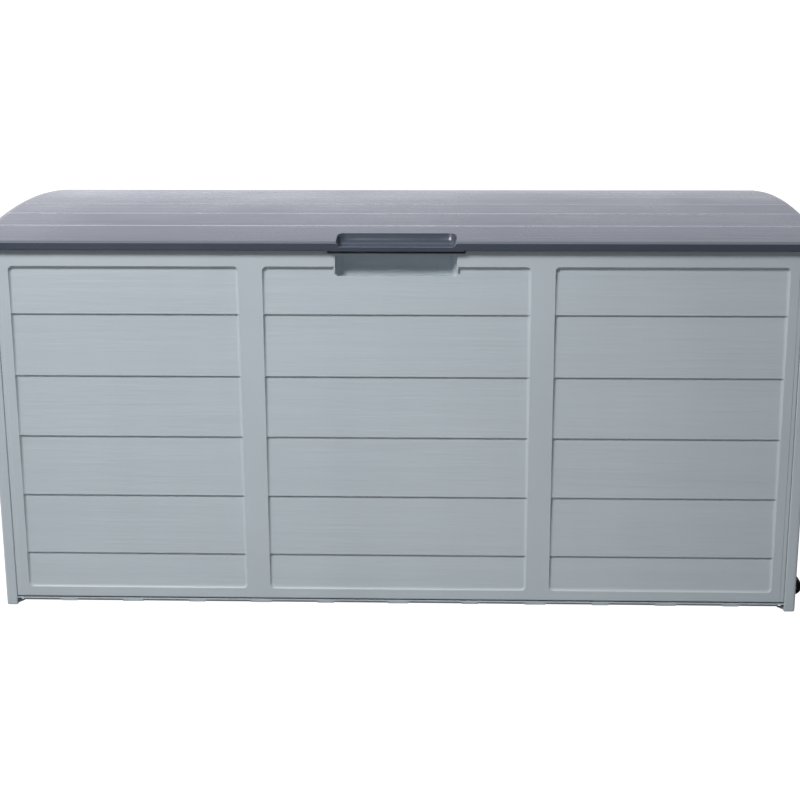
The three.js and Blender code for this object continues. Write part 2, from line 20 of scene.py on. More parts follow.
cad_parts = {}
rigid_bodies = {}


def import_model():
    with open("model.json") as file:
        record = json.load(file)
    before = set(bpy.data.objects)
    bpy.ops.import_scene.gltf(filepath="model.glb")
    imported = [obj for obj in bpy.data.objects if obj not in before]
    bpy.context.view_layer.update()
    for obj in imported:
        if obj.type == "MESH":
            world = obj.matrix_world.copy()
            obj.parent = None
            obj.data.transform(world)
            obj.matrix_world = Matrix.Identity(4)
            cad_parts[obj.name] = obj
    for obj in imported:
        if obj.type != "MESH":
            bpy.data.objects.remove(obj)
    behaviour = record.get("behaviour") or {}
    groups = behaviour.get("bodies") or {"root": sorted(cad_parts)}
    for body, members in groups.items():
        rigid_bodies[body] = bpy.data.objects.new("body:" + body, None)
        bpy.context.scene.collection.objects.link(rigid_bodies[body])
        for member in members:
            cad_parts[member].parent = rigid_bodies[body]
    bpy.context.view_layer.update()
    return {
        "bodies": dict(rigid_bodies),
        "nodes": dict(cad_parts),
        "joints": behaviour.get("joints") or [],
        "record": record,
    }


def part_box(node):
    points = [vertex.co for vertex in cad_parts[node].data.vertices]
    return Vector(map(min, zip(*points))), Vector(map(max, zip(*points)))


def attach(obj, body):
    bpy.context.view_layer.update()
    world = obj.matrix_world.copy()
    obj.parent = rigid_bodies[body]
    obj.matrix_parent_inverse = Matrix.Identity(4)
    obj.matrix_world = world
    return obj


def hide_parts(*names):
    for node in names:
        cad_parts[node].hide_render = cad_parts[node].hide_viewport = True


LOG = logging.getLogger("deck_storage_box")
MM = 0.001  # metres in a millimetre
LINE_STEP = 0.4  # grid lines fall on multiples of this, in millimetres
BLEND_STEPS = (0.4, 0.8, 1.2, 1.6, 2.0, 2.8, 4.0, 6.0)  # distances of the lines beside an edge
SMOOTH_ANGLE = math.radians(32)

Array = np.ndarray


# ------------------------------------------------------------------ arithmetic of surfaces
def ease(share: Array) -> Array:
    """Smooth step: 0 below 0, 1 above 1, and 3t^2 - 2t^3 between.

    Args:
        share: How far along the step each point is.

    Returns:
        The eased share.
    """
    held = np.clip(share, 0.0, 1.0)
    return held * held * (3.0 - 2.0 * held)


def quarter_round(share: Array) -> Array:
    """Quarter circle from 0 at share 0, steep, to 1 at share 1, level.

    Args:
        share: How far along the quarter each point is.

    Returns:
        The height on the quarter circle.
    """
    left = 1.0 - np.clip(share, 0.0, 1.0)
    return np.sqrt(1.0 - left * left)


def rounded_edge(distance: Array, radius: float) -> Array:
    """How far a surface drops back at a rounded edge: radius minus a circle's height.

    Args:
        distance: Distance in from the edge.
        radius: The edge's radius.

    Returns:
        The drop, which is the radius at the edge and 0 from one radius in.
    """
    return radius * (1.0 - quarter_round(distance / radius))


@dataclass(frozen=True)
class Rect:
    """A rectangle with round corners, on the face of a wall."""

    left: float
    right: float
    bottom: float
    top: float
    radius: float = 0.0

    def inside(self, u: Array, v: Array) -> Array:
        """Distance in from the outline, negative outside: the signed distance of a round rectangle.

        Args:
            u: Places along the wall.
            v: Heights.

        Returns:
            The distance at each point.
        """
        over_u = np.abs(u - (self.left + self.right) / 2) - (self.right - self.left) / 2 + self.radius
        over_v = np.abs(v - (self.bottom + self.top) / 2) - (self.top - self.bottom) / 2 + self.radius
        outside = np.hypot(np.maximum(over_u, 0), np.maximum(over_v, 0))
        return self.radius - outside - np.minimum(np.maximum(over_u, over_v), 0)


def around(place: float, steps: Sequence[float] = BLEND_STEPS) -> list[float]:
    """The place itself and the blend steps on both sides of it."""
    return [place, *(place - s for s in steps), *(place + s for s in steps)]


def both_sides(places: Sequence[float]) -> list[float]:
    """The places with their sign turned round, then the places themselves."""
    return [sign * place for sign in (-1, 1) for place in places]


def grid_lines(
    low: float, high: float, exact: Sequence[float], near: Sequence[float], coarse: float
) -> Array:
    """Where the lines of a grid fall in one direction.

    Args:
        low: First line.
        high: Last line.
        exact: Lines that fall exactly where an edge is.
        near: Lines that crowd around edges, and may move by half a step.
        coarse: The widest gap wanted.

    Returns:
        The sorted lines, none of them closer than about 0.3 mm to the next.
    """
    fixed = np.unique(np.round([low, high, *exact], 3))
    fixed = fixed[(fixed >= low) & (fixed <= high)]
    loose = np.concatenate([np.linspace(low, high, int((high - low) / coarse) + 1), np.asarray(near, float)])
    loose = np.unique(np.round(loose / LINE_STEP) * LINE_STEP)
    loose = loose[(loose > low) & (loose < high)]
    clear = np.abs(loose[:, None] - fixed).min(axis=1) > 0.7 * LINE_STEP
    return np.sort(np.concatenate([fixed, loose[clear]]))


# ------------------------------------------------------------------ meshes
@dataclass
class Surface:
    """Points in millimetres with the faces between them, each face with a finish number."""

    points: Array = field(default_factory=lambda: np.zeros((0, 3)))
    faces: list[Array] = field(default_factory=list)
    finishes: list[Array] = field(default_factory=list)

    def add(self, points: Array, faces: Sequence[Array], finishes: Sequence[Array | int]) -> "Surface":
        """Adds points and blocks of faces.

        Args:
            points: New points.
            faces: Blocks of triangles or quads that count the new points from 0.
            finishes: One finish number, or one per face, for each block.

        Returns:
            This surface.
        """
        start = len(self.points)
        self.points = np.concatenate([self.points, np.asarray(points, float).reshape(-1, 3)])
        for block, finish in zip(faces, finishes):
            if len(block):
                self.faces.append(np.asarray(block) + start)
                self.finishes.append(np.broadcast_to(np.asarray(finish), (len(block),)))
        return self

    def join(self, other: "Surface") -> "Surface":
        """Adds another surface's points and faces to this one."""
        return self.add(other.points, other.faces, other.finishes)

    def placed(self, turn: Matrix) -> "Surface":
        """This surface after a turn and a move, both in millimetres."""
        matrix = np.array(turn)
        points = self.points @ matrix[:3, :3].T + matrix[:3, 3]
        return Surface(points, self.faces, self.finishes)

    def object(self, name: str, materials: Sequence[bpy.types.Material]) -> bpy.types.Object:
        """Makes the mesh object, at the origin, with smooth shading that breaks at sharp edges.

        Args:
            name: The object's name.
            materials: One material for each finish number.

        Returns:
            The object, linked to the scene.
        """
        used, order = np.unique(np.concatenate([f.ravel() for f in self.faces]), return_inverse=True)
        sizes = np.concatenate([np.full(len(f), f.shape[1]) for f in self.faces])
        mesh = bpy.data.meshes.new(name)
        mesh.vertices.add(len(used))
        mesh.vertices.foreach_set("co", (self.points[used] * MM).astype(np.float32).ravel())
        mesh.loops.add(len(order))
        mesh.loops.foreach_set("vertex_index", order.astype(np.int32).ravel())
        mesh.polygons.add(len(sizes))
        mesh.polygons.foreach_set("loop_start", np.concatenate([[0], np.cumsum(sizes)[:-1]]).astype(np.int32))
        mesh.polygons.foreach_set("material_index", np.concatenate(self.finishes).astype(np.int32))
        mesh.polygons.foreach_set("use_smooth", np.ones(len(sizes), bool))
        mesh.update(calc_edges=True)
        mesh.validate()
        mesh.set_sharp_from_angle(angle=SMOOTH_ANGLE)
        for material in materials:
            mesh.materials.append(material)
        made = bpy.data.objects.new(name, mesh)
        bpy.context.scene.collection.objects.link(made)
        return made


def cell_corners(rows: int, columns: int) -> tuple[Array, Array, Array, Array]:
    """Point numbers at the four corners of each cell of a grid, anticlockwise.

    Args:
        rows: Points in the first direction.
        columns: Points in the second direction.

    Returns:
        Four arrays, one number per cell.
    """
    index = np.arange(rows * columns).reshape(rows, columns)
    return index[:-1, :-1], index[1:, :-1], index[1:, 1:], index[:-1, 1:]


def wall_shell(outer: Array, inner: Array, keep: Array, finish: Array) -> Surface:
    """A closed wall between two grids of points, cut away where cells are not kept.

    The outer grid faces out where its first direction crossed with its second points out. Each open
    side of a kept cell is closed by a quad between the two grids.

    Args:
        outer: Outer points, rows by columns by 3.
        inner: Inner points, of the same shape.
        keep: Which cells are there.
        finish: The finish number of each outer cell.

    Returns:
        The closed surface. Inner faces and rims have finish 1.
    """
    a, b, c, d = cell_corners(*outer.shape[:2])
    deep = outer.shape[0] * outer.shape[1]
    ring = np.pad(keep, 1)
    sides = (
        (keep & ~ring[:-2, 1:-1], a, d),
        (keep & ~ring[2:, 1:-1], c, b),
        (keep & ~ring[1:-1, :-2], b, a),
        (keep & ~ring[1:-1, 2:], d, c),
    )
    blocks = [np.stack([a, b, c, d], -1)[keep], np.stack([a, d, c, b], -1)[keep] + deep]
    blocks += [np.stack([p, q, q + deep, p + deep], -1)[open_side] for open_side, p, q in sides]
    points = np.concatenate([outer.reshape(-1, 3), inner.reshape(-1, 3)])
    return Surface().add(points, blocks, [finish[keep], 1, 1, 1, 1, 1])


def turned(radius: Array, along: Array, sides: int, dent: Array | None = None) -> Surface:
    """A profile turned about the Z axis. Point = (r cos a, r sin a, z + dent), for each angle a.

    The profile runs so that its outside is passed in the +Z direction. Where it starts or ends on
    the axis the pole is one point with a fan of triangles, and otherwise it is a closed loop.

    Args:
        radius: The profile's radii.
        along: The profile's heights.
        sides: How many steps make a turn.
        dent: Extra height of each point, sides by profile points.

    Returns:
        The closed surface, with finish 0.
    """
    looped = radius[0] > 0
    angle = np.arange(sides) * (2 * math.pi / sides)
    height = np.broadcast_to(along, (sides, len(along)))
    height = height if dent is None else height + dent
    flat = np.stack([np.outer(np.cos(angle), radius), np.outer(np.sin(angle), radius), height], -1)
    count = len(radius)
    if looped:
        index = np.arange(sides * count).reshape(sides, count)
        after, on = np.roll(index, -1, axis=0), np.roll(index, -1, axis=1)
        quads = np.stack([index, after, np.roll(after, -1, axis=1), on], -1).reshape(-1, 4)
        return Surface().add(flat, [quads], [0])
    body = flat[:, 1:-1]
    inner = count - 2
    index = np.arange(sides * inner).reshape(sides, inner)
    after = np.roll(index, -1, axis=0)
    quads = np.stack([index[:, :-1], after[:, :-1], after[:, 1:], index[:, 1:]], -1).reshape(-1, 4)
    first, last = sides * inner, sides * inner + 1
    start = np.stack([np.full(sides, first), after[:, 0], index[:, 0]], -1)
    end = np.stack([np.full(sides, last), index[:, -1], after[:, -1]], -1)
    poles = np.array([flat[:, 0].mean(axis=0), flat[:, -1].mean(axis=0)])
    return Surface().add(np.concatenate([body.reshape(-1, 3), poles]), [quads, start, end], [0, 0, 0])


def bevelled_plate(outline: Array, low: float, high: float, bevel: float) -> Surface:
    """A flat plate with eased rims: its outline, anticlockwise, carried along +Z.

    Rings: the outline pulled towards its middle at both faces, and the full outline one bevel in.

    Args:
        outline: Points of the outline, n by 2.
        low: Height of the first face.
        high: Height of the second face.
        bevel: How far the rims are eased.

    Returns:
        The closed surface, with finish 0.
    """
    middle = outline.mean(axis=0)
    reach = np.linalg.norm(outline - middle, axis=1, keepdims=True)
    pulled = middle + (outline - middle) * (1 - bevel / reach)
    rings = [(pulled, low), (outline, low + bevel), (outline, high - bevel), (pulled, high)]
    points = np.concatenate([np.column_stack([ring, np.full(len(ring), z)]) for ring, z in rings])
    count = len(outline)
    index = np.arange(4 * count).reshape(4, count)
    after = np.roll(index, -1, axis=1)
    quads = np.stack([index[:-1], after[:-1], after[1:], index[1:]], -1).reshape(-1, 4)
    poles = len(points) + np.arange(2)
    points = np.concatenate([points, [[*middle, low], [*middle, high]]])
    bottom = np.stack([np.full(count, poles[0]), after[0], index[0]], -1)
    top = np.stack([np.full(count, poles[1]), index[3], after[3]], -1)
    return Surface().add(points, [quads, bottom, top], [0, 0, 0])


def eased_copy(
    node: bpy.types.Object, name: str, width: float, material: bpy.types.Material
) -> bpy.types.Object:
    """A copy of a frame node with its faces merged and its edges eased by a bevel.

    Args:
        node: The frame node to copy.
        name: The new object's name.
        width: Bevel width in millimetres.
        material: The copy's finish.

    Returns:
        The copy, linked to the scene.
    """
    mesh = node.data.copy()
    mesh.name = name
    work = bmesh.new()
    work.from_mesh(mesh)
    bmesh.ops.remove_doubles(work, verts=work.verts, dist=1e-5)
    bmesh.ops.dissolve_limit(work, angle_limit=math.radians(1), verts=work.verts, edges=work.edges)
    work.to_mesh(mesh)
    work.free()
    mesh.materials.clear()
    mesh.materials.append(material)
    mesh.polygons.foreach_set("material_index", np.zeros(len(mesh.polygons), np.int32))
    mesh.polygons.foreach_set("use_smooth", np.ones(len(mesh.polygons), bool))
    mesh.set_sharp_from_angle(angle=SMOOTH_ANGLE)
    copy = bpy.data.objects.new(name, mesh)
    bpy.context.scene.collection.objects.link(copy)
    bevel = copy.modifiers.new("eased_edges", "BEVEL")
    bevel.width = width * MM
    bevel.segments = 2
    bevel.limit_method = "ANGLE"
    bevel.angle_limit = math.radians(40)
    bevel.harden_normals = True
    return copy


# ------------------------------------------------------------------ finishes
class Grain(Enum):
    """Which way a board's grain runs, as how much each axis is shrunk to draw a noise out along it."""

    ALONG_X = (0.045, 1.0, 1.0)
    ALONG_Y = (1.0, 0.045, 1.0)


def linear(red: float, green: float, blue: float) -> tuple[float, float, float, float]:
    """A screen colour, 0 to 255, as linear light."""

    def one(value: float) -> float:
        share = value / 255
        return share / 12.92 if share <= 0.04045 else ((share + 0.055) / 1.055) ** 2.4

    return one(red), one(green), one(blue), 1.0


class NodeBench:
    """A node tree with short ways to add and join nodes."""

    def __init__(self, tree: bpy.types.NodeTree) -> None:
        """Keeps the tree that nodes are added to."""
        self.tree = tree

    def add(self, kind: str, inputs: dict | None = None, **settings: object) -> bpy.types.Node:
        """Adds a node.

        Args:
            kind: The node's type name, without the ShaderNode in front.
            inputs: Socket name or number to a value, or to another node's output.
            **settings: The node's own properties.

        Returns:
            The node.
        """
        node = self.tree.nodes.new(kind if kind.startswith("Node") else f"ShaderNode{kind}")
        for key, value in settings.items():
            setattr(node, key, value)
        for key, value in (inputs or {}).items():
            if isinstance(value, bpy.types.NodeSocket):
                self.tree.links.new(value, node.inputs[key])
            else:
                node.inputs[key].default_value = value
        return node

    def blend(self, share: bpy.types.NodeSocket, low: tuple, high: tuple) -> bpy.types.NodeSocket:
        """A colour between two, by a share from 0 to 1."""
        mix = self.add("Mix", data_type="RGBA")
        for socket, value in zip([s for s in mix.inputs if s.type == "RGBA"], (low, high)):
            if isinstance(value, bpy.types.NodeSocket):
                self.tree.links.new(value, socket)
            else:
                socket.default_value = value
        self.tree.links.new(share, mix.inputs[0])
        return [s for s in mix.outputs if s.type == "RGBA"][0]

    def remap(
        self, value: bpy.types.NodeSocket, low: float, high: float, start: float, end: float
    ) -> bpy.types.NodeSocket:
        """The value carried from the range low to high onto start to end, and held there."""
        sockets = {"Value": value, "From Min": low, "From Max": high, "To Min": start, "To Max": end}
        return self.add("MapRange", sockets).outputs["Result"]

    def join(self, operation: str, first: bpy.types.NodeSocket, second: object) -> bpy.types.NodeSocket:
        """One value joined to another value or number by an operation such as ADD."""
        return self.add("Math", {0: first, 1: second}, operation=operation).outputs[0]

    def carry(self, operation: str, first: bpy.types.NodeSocket, second: object) -> bpy.types.NodeSocket:
        """One vector joined to another vector by an operation such as MULTIPLY."""
        return self.add("VectorMath", {0: first, 1: second}, operation=operation).outputs["Vector"]


def new_group(
    name: str, inputs: dict[str, tuple[str, object]], outputs: Sequence[str]
) -> tuple[bpy.types.NodeTree, bpy.types.Node, bpy.types.Node]:
    """Starts a shader node group.

    Args:
        name: The group's name.
        inputs: Input name to its socket type and its first value.
        outputs: Names of the value outputs.

    Returns:
        The group, its input node and its output node.
    """
    group = bpy.data.node_groups.new(name, "ShaderNodeTree")
    for label, (kind, value) in inputs.items():
        socket = group.interface.new_socket(name=label, in_out="INPUT", socket_type=f"NodeSocket{kind}")
        if value is not None:
            socket.default_value = value
    for label in outputs:
        group.interface.new_socket(name=label, in_out="OUTPUT", socket_type="NodeSocketFloat")
    return group, group.nodes.new("NodeGroupInput"), group.nodes.new("NodeGroupOutput")


def wood_grain_group() -> bpy.types.NodeTree:
    """Moulded wood grain: fine drawn-out fibres over slow wandering bands.

    Fibres are a noise squeezed along the grain, and bands are a second noise, bent by a third, with
    its value folded a few times into rings. Height is fibres plus bands, and Tone is a slow noise.

    Returns:
        The group, with inputs Vector, Squeeze and Fibre and outputs Height and Tone.
    """
    unsqueezed = (1.0, 1.0, 1.0)
    inputs = {"Vector": ("Vector", None), "Squeeze": ("Vector", unsqueezed), "Fibre": ("Float", 260.0)}
    group, given, result = new_group("wood_grain", inputs, ["Height", "Tone"])
    bench = NodeBench(group)
    place = bench.carry("MULTIPLY", given.outputs["Vector"], given.outputs["Squeeze"])
    sway = bench.add("TexNoise", {"Vector": place, "Scale": 14.0, "Detail": 2.0})
    shift = bench.carry("MULTIPLY", sway.outputs["Color"], (0.012, 0.012, 0.012))
    bent = bench.carry("ADD", place, shift)
    fine_noise = {"Vector": bent, "Scale": given.outputs["Fibre"], "Detail": 3.0, "Roughness": 0.6}
    fibre = bench.add("TexNoise", fine_noise)
    slow = bench.add("TexNoise", {"Vector": bent, "Scale": 22.0, "Detail": 1.0})
    rings = bench.join("MULTIPLY", slow.outputs["Fac"], 9.0)
    fold = bench.join("PINGPONG", rings, 1.0)
    soft = bench.remap(fold, 0.0, 1.0, 0.0, 0.45)
    fine = bench.remap(fibre.outputs["Fac"], 0.3, 0.7, 0.0, 0.55)
    height = bench.join("ADD", soft, fine)
    tone = bench.add("TexNoise", {"Vector": bent, "Scale": 46.0, "Detail": 4.0, "Roughness": 0.62})
    group.links.new(height, result.inputs["Height"])
    group.links.new(bench.remap(tone.outputs["Fac"], 0.28, 0.72, 0.0, 1.0), result.inputs["Tone"])
    return group


def satin_group() -> bpy.types.NodeTree:
    """The skin of moulded plastic: a fine stipple, and a slow cloud of wear over it.

    Returns:
        The group, with inputs Vector and Stipple and outputs Height and Cloud.
    """
    inputs = {"Vector": ("Vector", None), "Stipple": ("Float", 1500.0)}
    group, given, result = new_group("moulded_satin", inputs, ["Height", "Cloud"])
    bench = NodeBench(group)
    place = given.outputs["Vector"]
    stipple = bench.add("TexNoise", {"Vector": place, "Scale": given.outputs["Stipple"], "Detail": 1.0})
    cloud = bench.add("TexNoise", {"Vector": place, "Scale": 5.0, "Detail": 5.0, "Roughness": 0.55})
    group.links.new(stipple.outputs["Fac"], result.inputs["Height"])
    group.links.new(bench.remap(cloud.outputs["Fac"], 0.3, 0.7, 0.0, 1.0), result.inputs["Cloud"])
    return group


def drift_group() -> bpy.types.NodeTree:
    """How a wide moulding's colour drifts: a slow noise stretched upright, as sink marks leave it.

    Returns:
        The group, with input Vector and output Drift.
    """
    group, given, result = new_group("colour_drift", {"Vector": ("Vector", None)}, ["Drift"])
    bench = NodeBench(group)
    tall = bench.carry("MULTIPLY", given.outputs["Vector"], (9.0, 9.0, 1.4))
    noise = bench.add("TexNoise", {"Vector": tall, "Scale": 1.0, "Detail": 2.0})
    group.links.new(bench.remap(noise.outputs["Fac"], 0.32, 0.68, 0.0, 1.0), result.inputs["Drift"])
    return group


@dataclass(frozen=True)
class Plastic:
    """A moulded plastic: two close colours, its gloss, and how deep its grain and stipple are."""

    name: str
    dark: tuple[float, float, float]
    light: tuple[float, float, float]
    gloss: tuple[float, float]
    stipple_depth: float = 0.00002
    grain: Grain | None = None
    grain_depth: float = 0.0
    tone_share: float = 0.0

    def build(self, groups: dict[str, bpy.types.NodeTree]) -> bpy.types.Material:
        """Makes the material.

        Colour runs from dark to light by cloud, drift and grain tone. Roughness follows the cloud,
        and the grain's height and the stipple's height each feed a bump.

        Args:
            groups: The shared node groups by name.

        Returns:
            The material.
        """
        material = bpy.data.materials.new(self.name)
        material.use_nodes = True
        bench = NodeBench(material.node_tree)
        shader = material.node_tree.nodes["Principled BSDF"]
        where = bench.add("TexCoord").outputs["Object"]
        satin = bench.add("Group", {}, node_tree=groups["satin"])
        drift = bench.add("Group", {}, node_tree=groups["drift"])
        for group in (satin, drift):
            material.node_tree.links.new(where, group.inputs["Vector"])
        both = bench.join("ADD", satin.outputs["Cloud"], drift.outputs["Drift"])
        share = bench.remap(both, 0.0, 2.0, 0.0, 1.0)
        stipple = {"Height": satin.outputs["Height"], "Strength": 1.0, "Distance": self.stipple_depth}
        normal = bench.add("Bump", stipple).outputs["Normal"]
        if self.grain:
            grain = bench.add("Group", {}, node_tree=groups["grain"])
            material.node_tree.links.new(where, grain.inputs["Vector"])
            grain.inputs["Squeeze"].default_value = self.grain.value
            kept = bench.join("MULTIPLY", share, 1.0 - self.tone_share)
            toned = bench.join("MULTIPLY", grain.outputs["Tone"], self.tone_share)
            share = bench.join("ADD", kept, toned)
            ridges = {"Height": grain.outputs["Height"], "Strength": 1.0, "Distance": self.grain_depth}
            normal = bench.add("Bump", ridges | {"Normal": normal}).outputs["Normal"]
        colour = bench.blend(share, linear(*self.dark), linear(*self.light))
        rough = bench.remap(satin.outputs["Cloud"], 0.0, 1.0, *self.gloss)
        for socket, value in (("Base Color", colour), ("Roughness", rough), ("Normal", normal)):
            material.node_tree.links.new(value, shader.inputs[socket])
        return material


@dataclass(frozen=True)
class Steel:
    """Bright zinc on steel: a metal with a faint crystal bloom and turning marks."""

    name: str = "zinc_steel"

    def build(self, groups: dict[str, bpy.types.NodeTree]) -> bpy.types.Material:
        """Makes the material: colour and roughness follow a cell pattern, with the satin as bump."""
        material = bpy.data.materials.new(self.name)
        material.use_nodes = True
        bench = NodeBench(material.node_tree)
        shader = material.node_tree.nodes["Principled BSDF"]
        where = bench.add("TexCoord").outputs["Object"]
        cells = bench.add("TexVoronoi", {"Vector": where, "Scale": 700.0})
        satin = bench.add("Group", {}, node_tree=groups["satin"])
        material.node_tree.links.new(where, satin.inputs["Vector"])
        spangle = bench.remap(cells.outputs["Distance"], 0.0, 0.8, 0.0, 1.0)
        colour = bench.blend(spangle, linear(178, 181, 184), linear(214, 215, 214))
        rough = bench.remap(satin.outputs["Cloud"], 0.0, 1.0, 0.24, 0.42)
        marks = {"Height": satin.outputs["Height"], "Strength": 1.0, "Distance": 0.000015}
        normal = bench.add("Bump", marks).outputs["Normal"]
        for socket, value in (("Base Color", colour), ("Roughness", rough), ("Normal", normal)):
            material.node_tree.links.new(value, shader.inputs[socket])
        shader.inputs["Metallic"].default_value = 1.0
        return material


@dataclass
class Palette:
    """Every finish on the box."""

    frame: bpy.types.Material
    boards: bpy.types.Material
    end_boards: bpy.types.Material
    lid: bpy.types.Material
    lid_rim: bpy.types.Material
    # a pale finish painted as a highlight along the rear edge of each lid joint
    lid_edge_highlight: bpy.types.Material
    wheel: bpy.types.Material
    steel: bpy.types.Material

    @classmethod
    def mixed(cls) -> "Palette":
        """Builds the node groups and each finish from them."""
        groups = {"grain": wood_grain_group(), "satin": satin_group(), "drift": drift_group()}
        wall = {"dark": (181, 191, 197), "light": (190, 200, 206), "gloss": (0.46, 0.56)}
        board = {"grain_depth": 0.00022, "tone_share": 0.45}
        slate = {"dark": (62, 69, 82), "light": (72, 79, 92)}
        frame = Plastic("wall_frame", **wall)
        boards = Plastic("wall_boards", grain=Grain.ALONG_X, **board, **wall)
        end_boards = Plastic("end_boards", grain=Grain.ALONG_Y, **board, **wall)
        lid = Plastic(
            "lid_planks", gloss=(0.22, 0.32), grain=Grain.ALONG_X, grain_depth=0.0002, tone_share=0.5, **slate
        )
        lid_rim = Plastic("lid_rim", gloss=(0.3, 0.38), **slate)
        # Pale colour painted on the lid's plank edges: a painted highlight where the rounded rear edge of each
        # joint would catch the light.
        lid_edge_highlight = Plastic("lid_painted_edge_highlight", (143, 146, 159), (158, 161, 174), (0.3, 0.38))
        wheel = Plastic("wheel_rubber", (20, 20, 22), (34, 34, 35), (0.42, 0.6), 0.00005)
        made = [p.build(groups) for p in (frame, boards, end_boards, lid, lid_rim, lid_edge_highlight, wheel, Steel())]
        return cls(*made)


# ------------------------------------------------------------------ walls
@dataclass(frozen=True)
class Clapboards:
    """Boards in a sunk field: each leans in from a round nose at its foot to its upper edge."""

    bottom: float = 28.25
    top: float = 486.5
    laps: tuple[float, ...] = (79.1, 164.6, 249.7, 335.2, 421.1)
    proud: float = 1.7
    deep: float = 4.1
    nose: float = 1.5
    under: float = 0.7
    edge: float = 4.4
    corner: float = 6.5

    def fields(self, spans: Sequence[tuple[float, float]]) -> list[Rect]:
        """The outline of each field between the stiles."""
        return [Rect(left, right, self.bottom, self.top, self.corner) for left, right in spans]

    def depth(self, v: Array) -> Array:
        """How far in the boards are at each height.

        A board runs straight from proud, at its foot, to deep, at its top. A quarter circle brings
        its foot out from the top of the board below.

        Args:
            v: Heights.

        Returns:
            Depths from the wall's face.
        """
        edges = np.array([self.bottom, *self.laps, self.top])
        starts = np.array([self.bottom, *self.nose_starts])
        board = np.clip(np.searchsorted(starts, v, side="right") - 1, 0, len(self.laps))
        lean = self.proud + (self.deep - self.proud) * (v - edges[board]) / (edges[board + 1] - edges[board])
        nosed = self.deep + (lean - self.deep) * quarter_round((v - starts[board]) / self.nose)
        return np.where(board > 0, nosed, lean)

    @property
    def nose_starts(self) -> list[float]:
        """The height at which each lap's nose starts."""
        return [lap - self.under for lap in self.laps]

    def sunk(self, u: Array, v: Array, fields: Sequence[Rect]) -> tuple[Array, Array]:
        """Depth of the boards inside the fields, where a hollow curve falls from the face to them.

        Args:
            u: Places along the wall.
            v: Heights.
            fields: The fields' outlines.

        Returns:
            The depth, and the distance inside the nearest field.
        """
        inside = np.max([rect.inside(u, v) for rect in fields], axis=0)
        fallen = 1.0 - (1.0 - np.clip(inside / self.edge, 0.0, 1.0)) ** 2.4
        return self.depth(v) * fallen, inside

    def lines(self) -> list[float]:
        """Heights of the grid lines that a lap's nose needs."""
        return [start + step for start in self.nose_starts for step in (-0.8, 0.4, 0.8, 1.2, 1.6, 2.4)]


@dataclass(frozen=True)
class Grip:
    """A hand hold under the lid: a mouth with a sill, a floor that falls inwards and a flat back."""

    half: float
    bottom: float = 472.75
    top: float = 502.5
    depth: float = 26.0
    sill: float = 1.2
    sill_share: float = 0.76
    slope: float = 17.0
    fall: float = 4.5
    draft: float = 11.0
    bow: float = 1.7
    corner: float = 5.0
    shoulder: float = 3.0
    level_start: float = 2.2
    level_run: float = 8.0
    roof_run: float = 1.2
    corner_run: float = 1.6
    falls_from: float = 4.0
    margin: float = 8.0
    margin_run: float = 4.0

    @property
    def mouth(self) -> Rect:
        """The mouth's outline."""
        return Rect(-self.half, self.half, self.bottom, self.top, self.corner)

    def cut(self, u: Array, v: Array, skin: Array) -> Array:
        """Cuts the grip into a wall's depth.

        The hollow is the product of four shares: a short slope behind the sill with a bowed back
        above it, a bowed curve in from each end, a steep top, and the mouth's round corners. Beside
        the mouth, the step from the boards up to the face above them fades out in a narrow shoulder.

        Args:
            u: Places along the wall.
            v: Heights.
            skin: Depth of the wall without the grip.

        Returns:
            Depth of the wall with the grip.
        """
        inside = self.mouth.inside(u, v)
        rise = v - self.bottom
        beside = ease(1.0 + np.minimum(inside, 0.0) / self.shoulder)
        around_mouth = skin * (1.0 - ease((rise - self.level_start) / self.level_run) * beside)
        back = 1.0 - (1.0 - np.clip(rise / self.slope, 0, 1)) ** self.bow
        floor = self.sill_share * np.clip(rise / self.sill, 0, 1) + (1 - self.sill_share) * back
        ends = 1.0 - (1.0 - np.clip((self.half - np.abs(u)) / self.draft, 0, 1)) ** self.bow
        roof = np.clip((self.top - v) / self.roof_run, 0, 1)
        round_corner = np.clip(inside / self.corner_run, 0, 1)
        hollow = around_mouth + (self.depth - around_mouth) * floor * ends * roof * round_corner
        return np.where(inside > 0, hollow, around_mouth)

    def lowered(self, u: Array, v: Array, deep: Array) -> Array:
        """Heights of a wall's points, where the grip's floor falls away behind its sill.

        Args:
            u: Places along the wall.
            v: Heights.
            deep: Depth of each point.

        Returns:
            The new heights.
        """
        near_u = ease((self.half + self.margin - np.abs(u)) / self.margin_run)
        near_v = ease((v - self.bottom + self.margin) / self.margin_run)
        share = np.clip((deep - self.falls_from) / (self.depth - self.falls_from), 0, 1)
        below_top = np.clip((self.top - v) / (self.top - self.bottom), 0, 1)
        return v - self.fall * near_u * near_v * share * below_top

    def lines(self) -> tuple[list[float], list[float]]:
        """Grid lines that the mouth needs along the wall and up it."""
        along = both_sides(around(self.half, (*BLEND_STEPS, 8.0, 10.0, 12.0)))
        high = around(self.bottom) + around(self.top, (0.4, 0.8, 1.2, 1.6, 3.0, 5.0))
        return along, high + [self.bottom + step for step in (3.0, 8.0, 12.0, 17.0)]


@dataclass(frozen=True)
class WallSkin:
    """How thick a wall is, and the ribs that stand behind it."""

    thickness: float = 3.3
    reach: float = 3.0
    rib: float = 3.2
    top_rib: float = 12.0
    field_rib: float = 8.0
    edge: float = 1.2

    def ribbed(
        self, depth: Array, ribs: list[tuple[Array, float]], u: Array, v: Array, fields: Sequence[Rect]
    ) -> Array:
        """Depth of an inner face with its ribs and a rib round each field: the deepest of them.

        Args:
            depth: Depth of the inner face without ribs.
            ribs: Where each rib is, and its depth.
            u: Places along the wall.
            v: Heights.
            fields: The fields' outlines.

        Returns:
            The depth at each point.
        """
        for rect in fields:
            inside = Rect(rect.left, rect.right, rect.bottom, rect.top).inside(u, v)
            ribs = [*ribs, ((inside < 0) & (inside > -self.rib), self.field_rib)]
        for there, deep in ribs:
            depth = np.where(there, np.maximum(depth, deep), depth)
        return depth


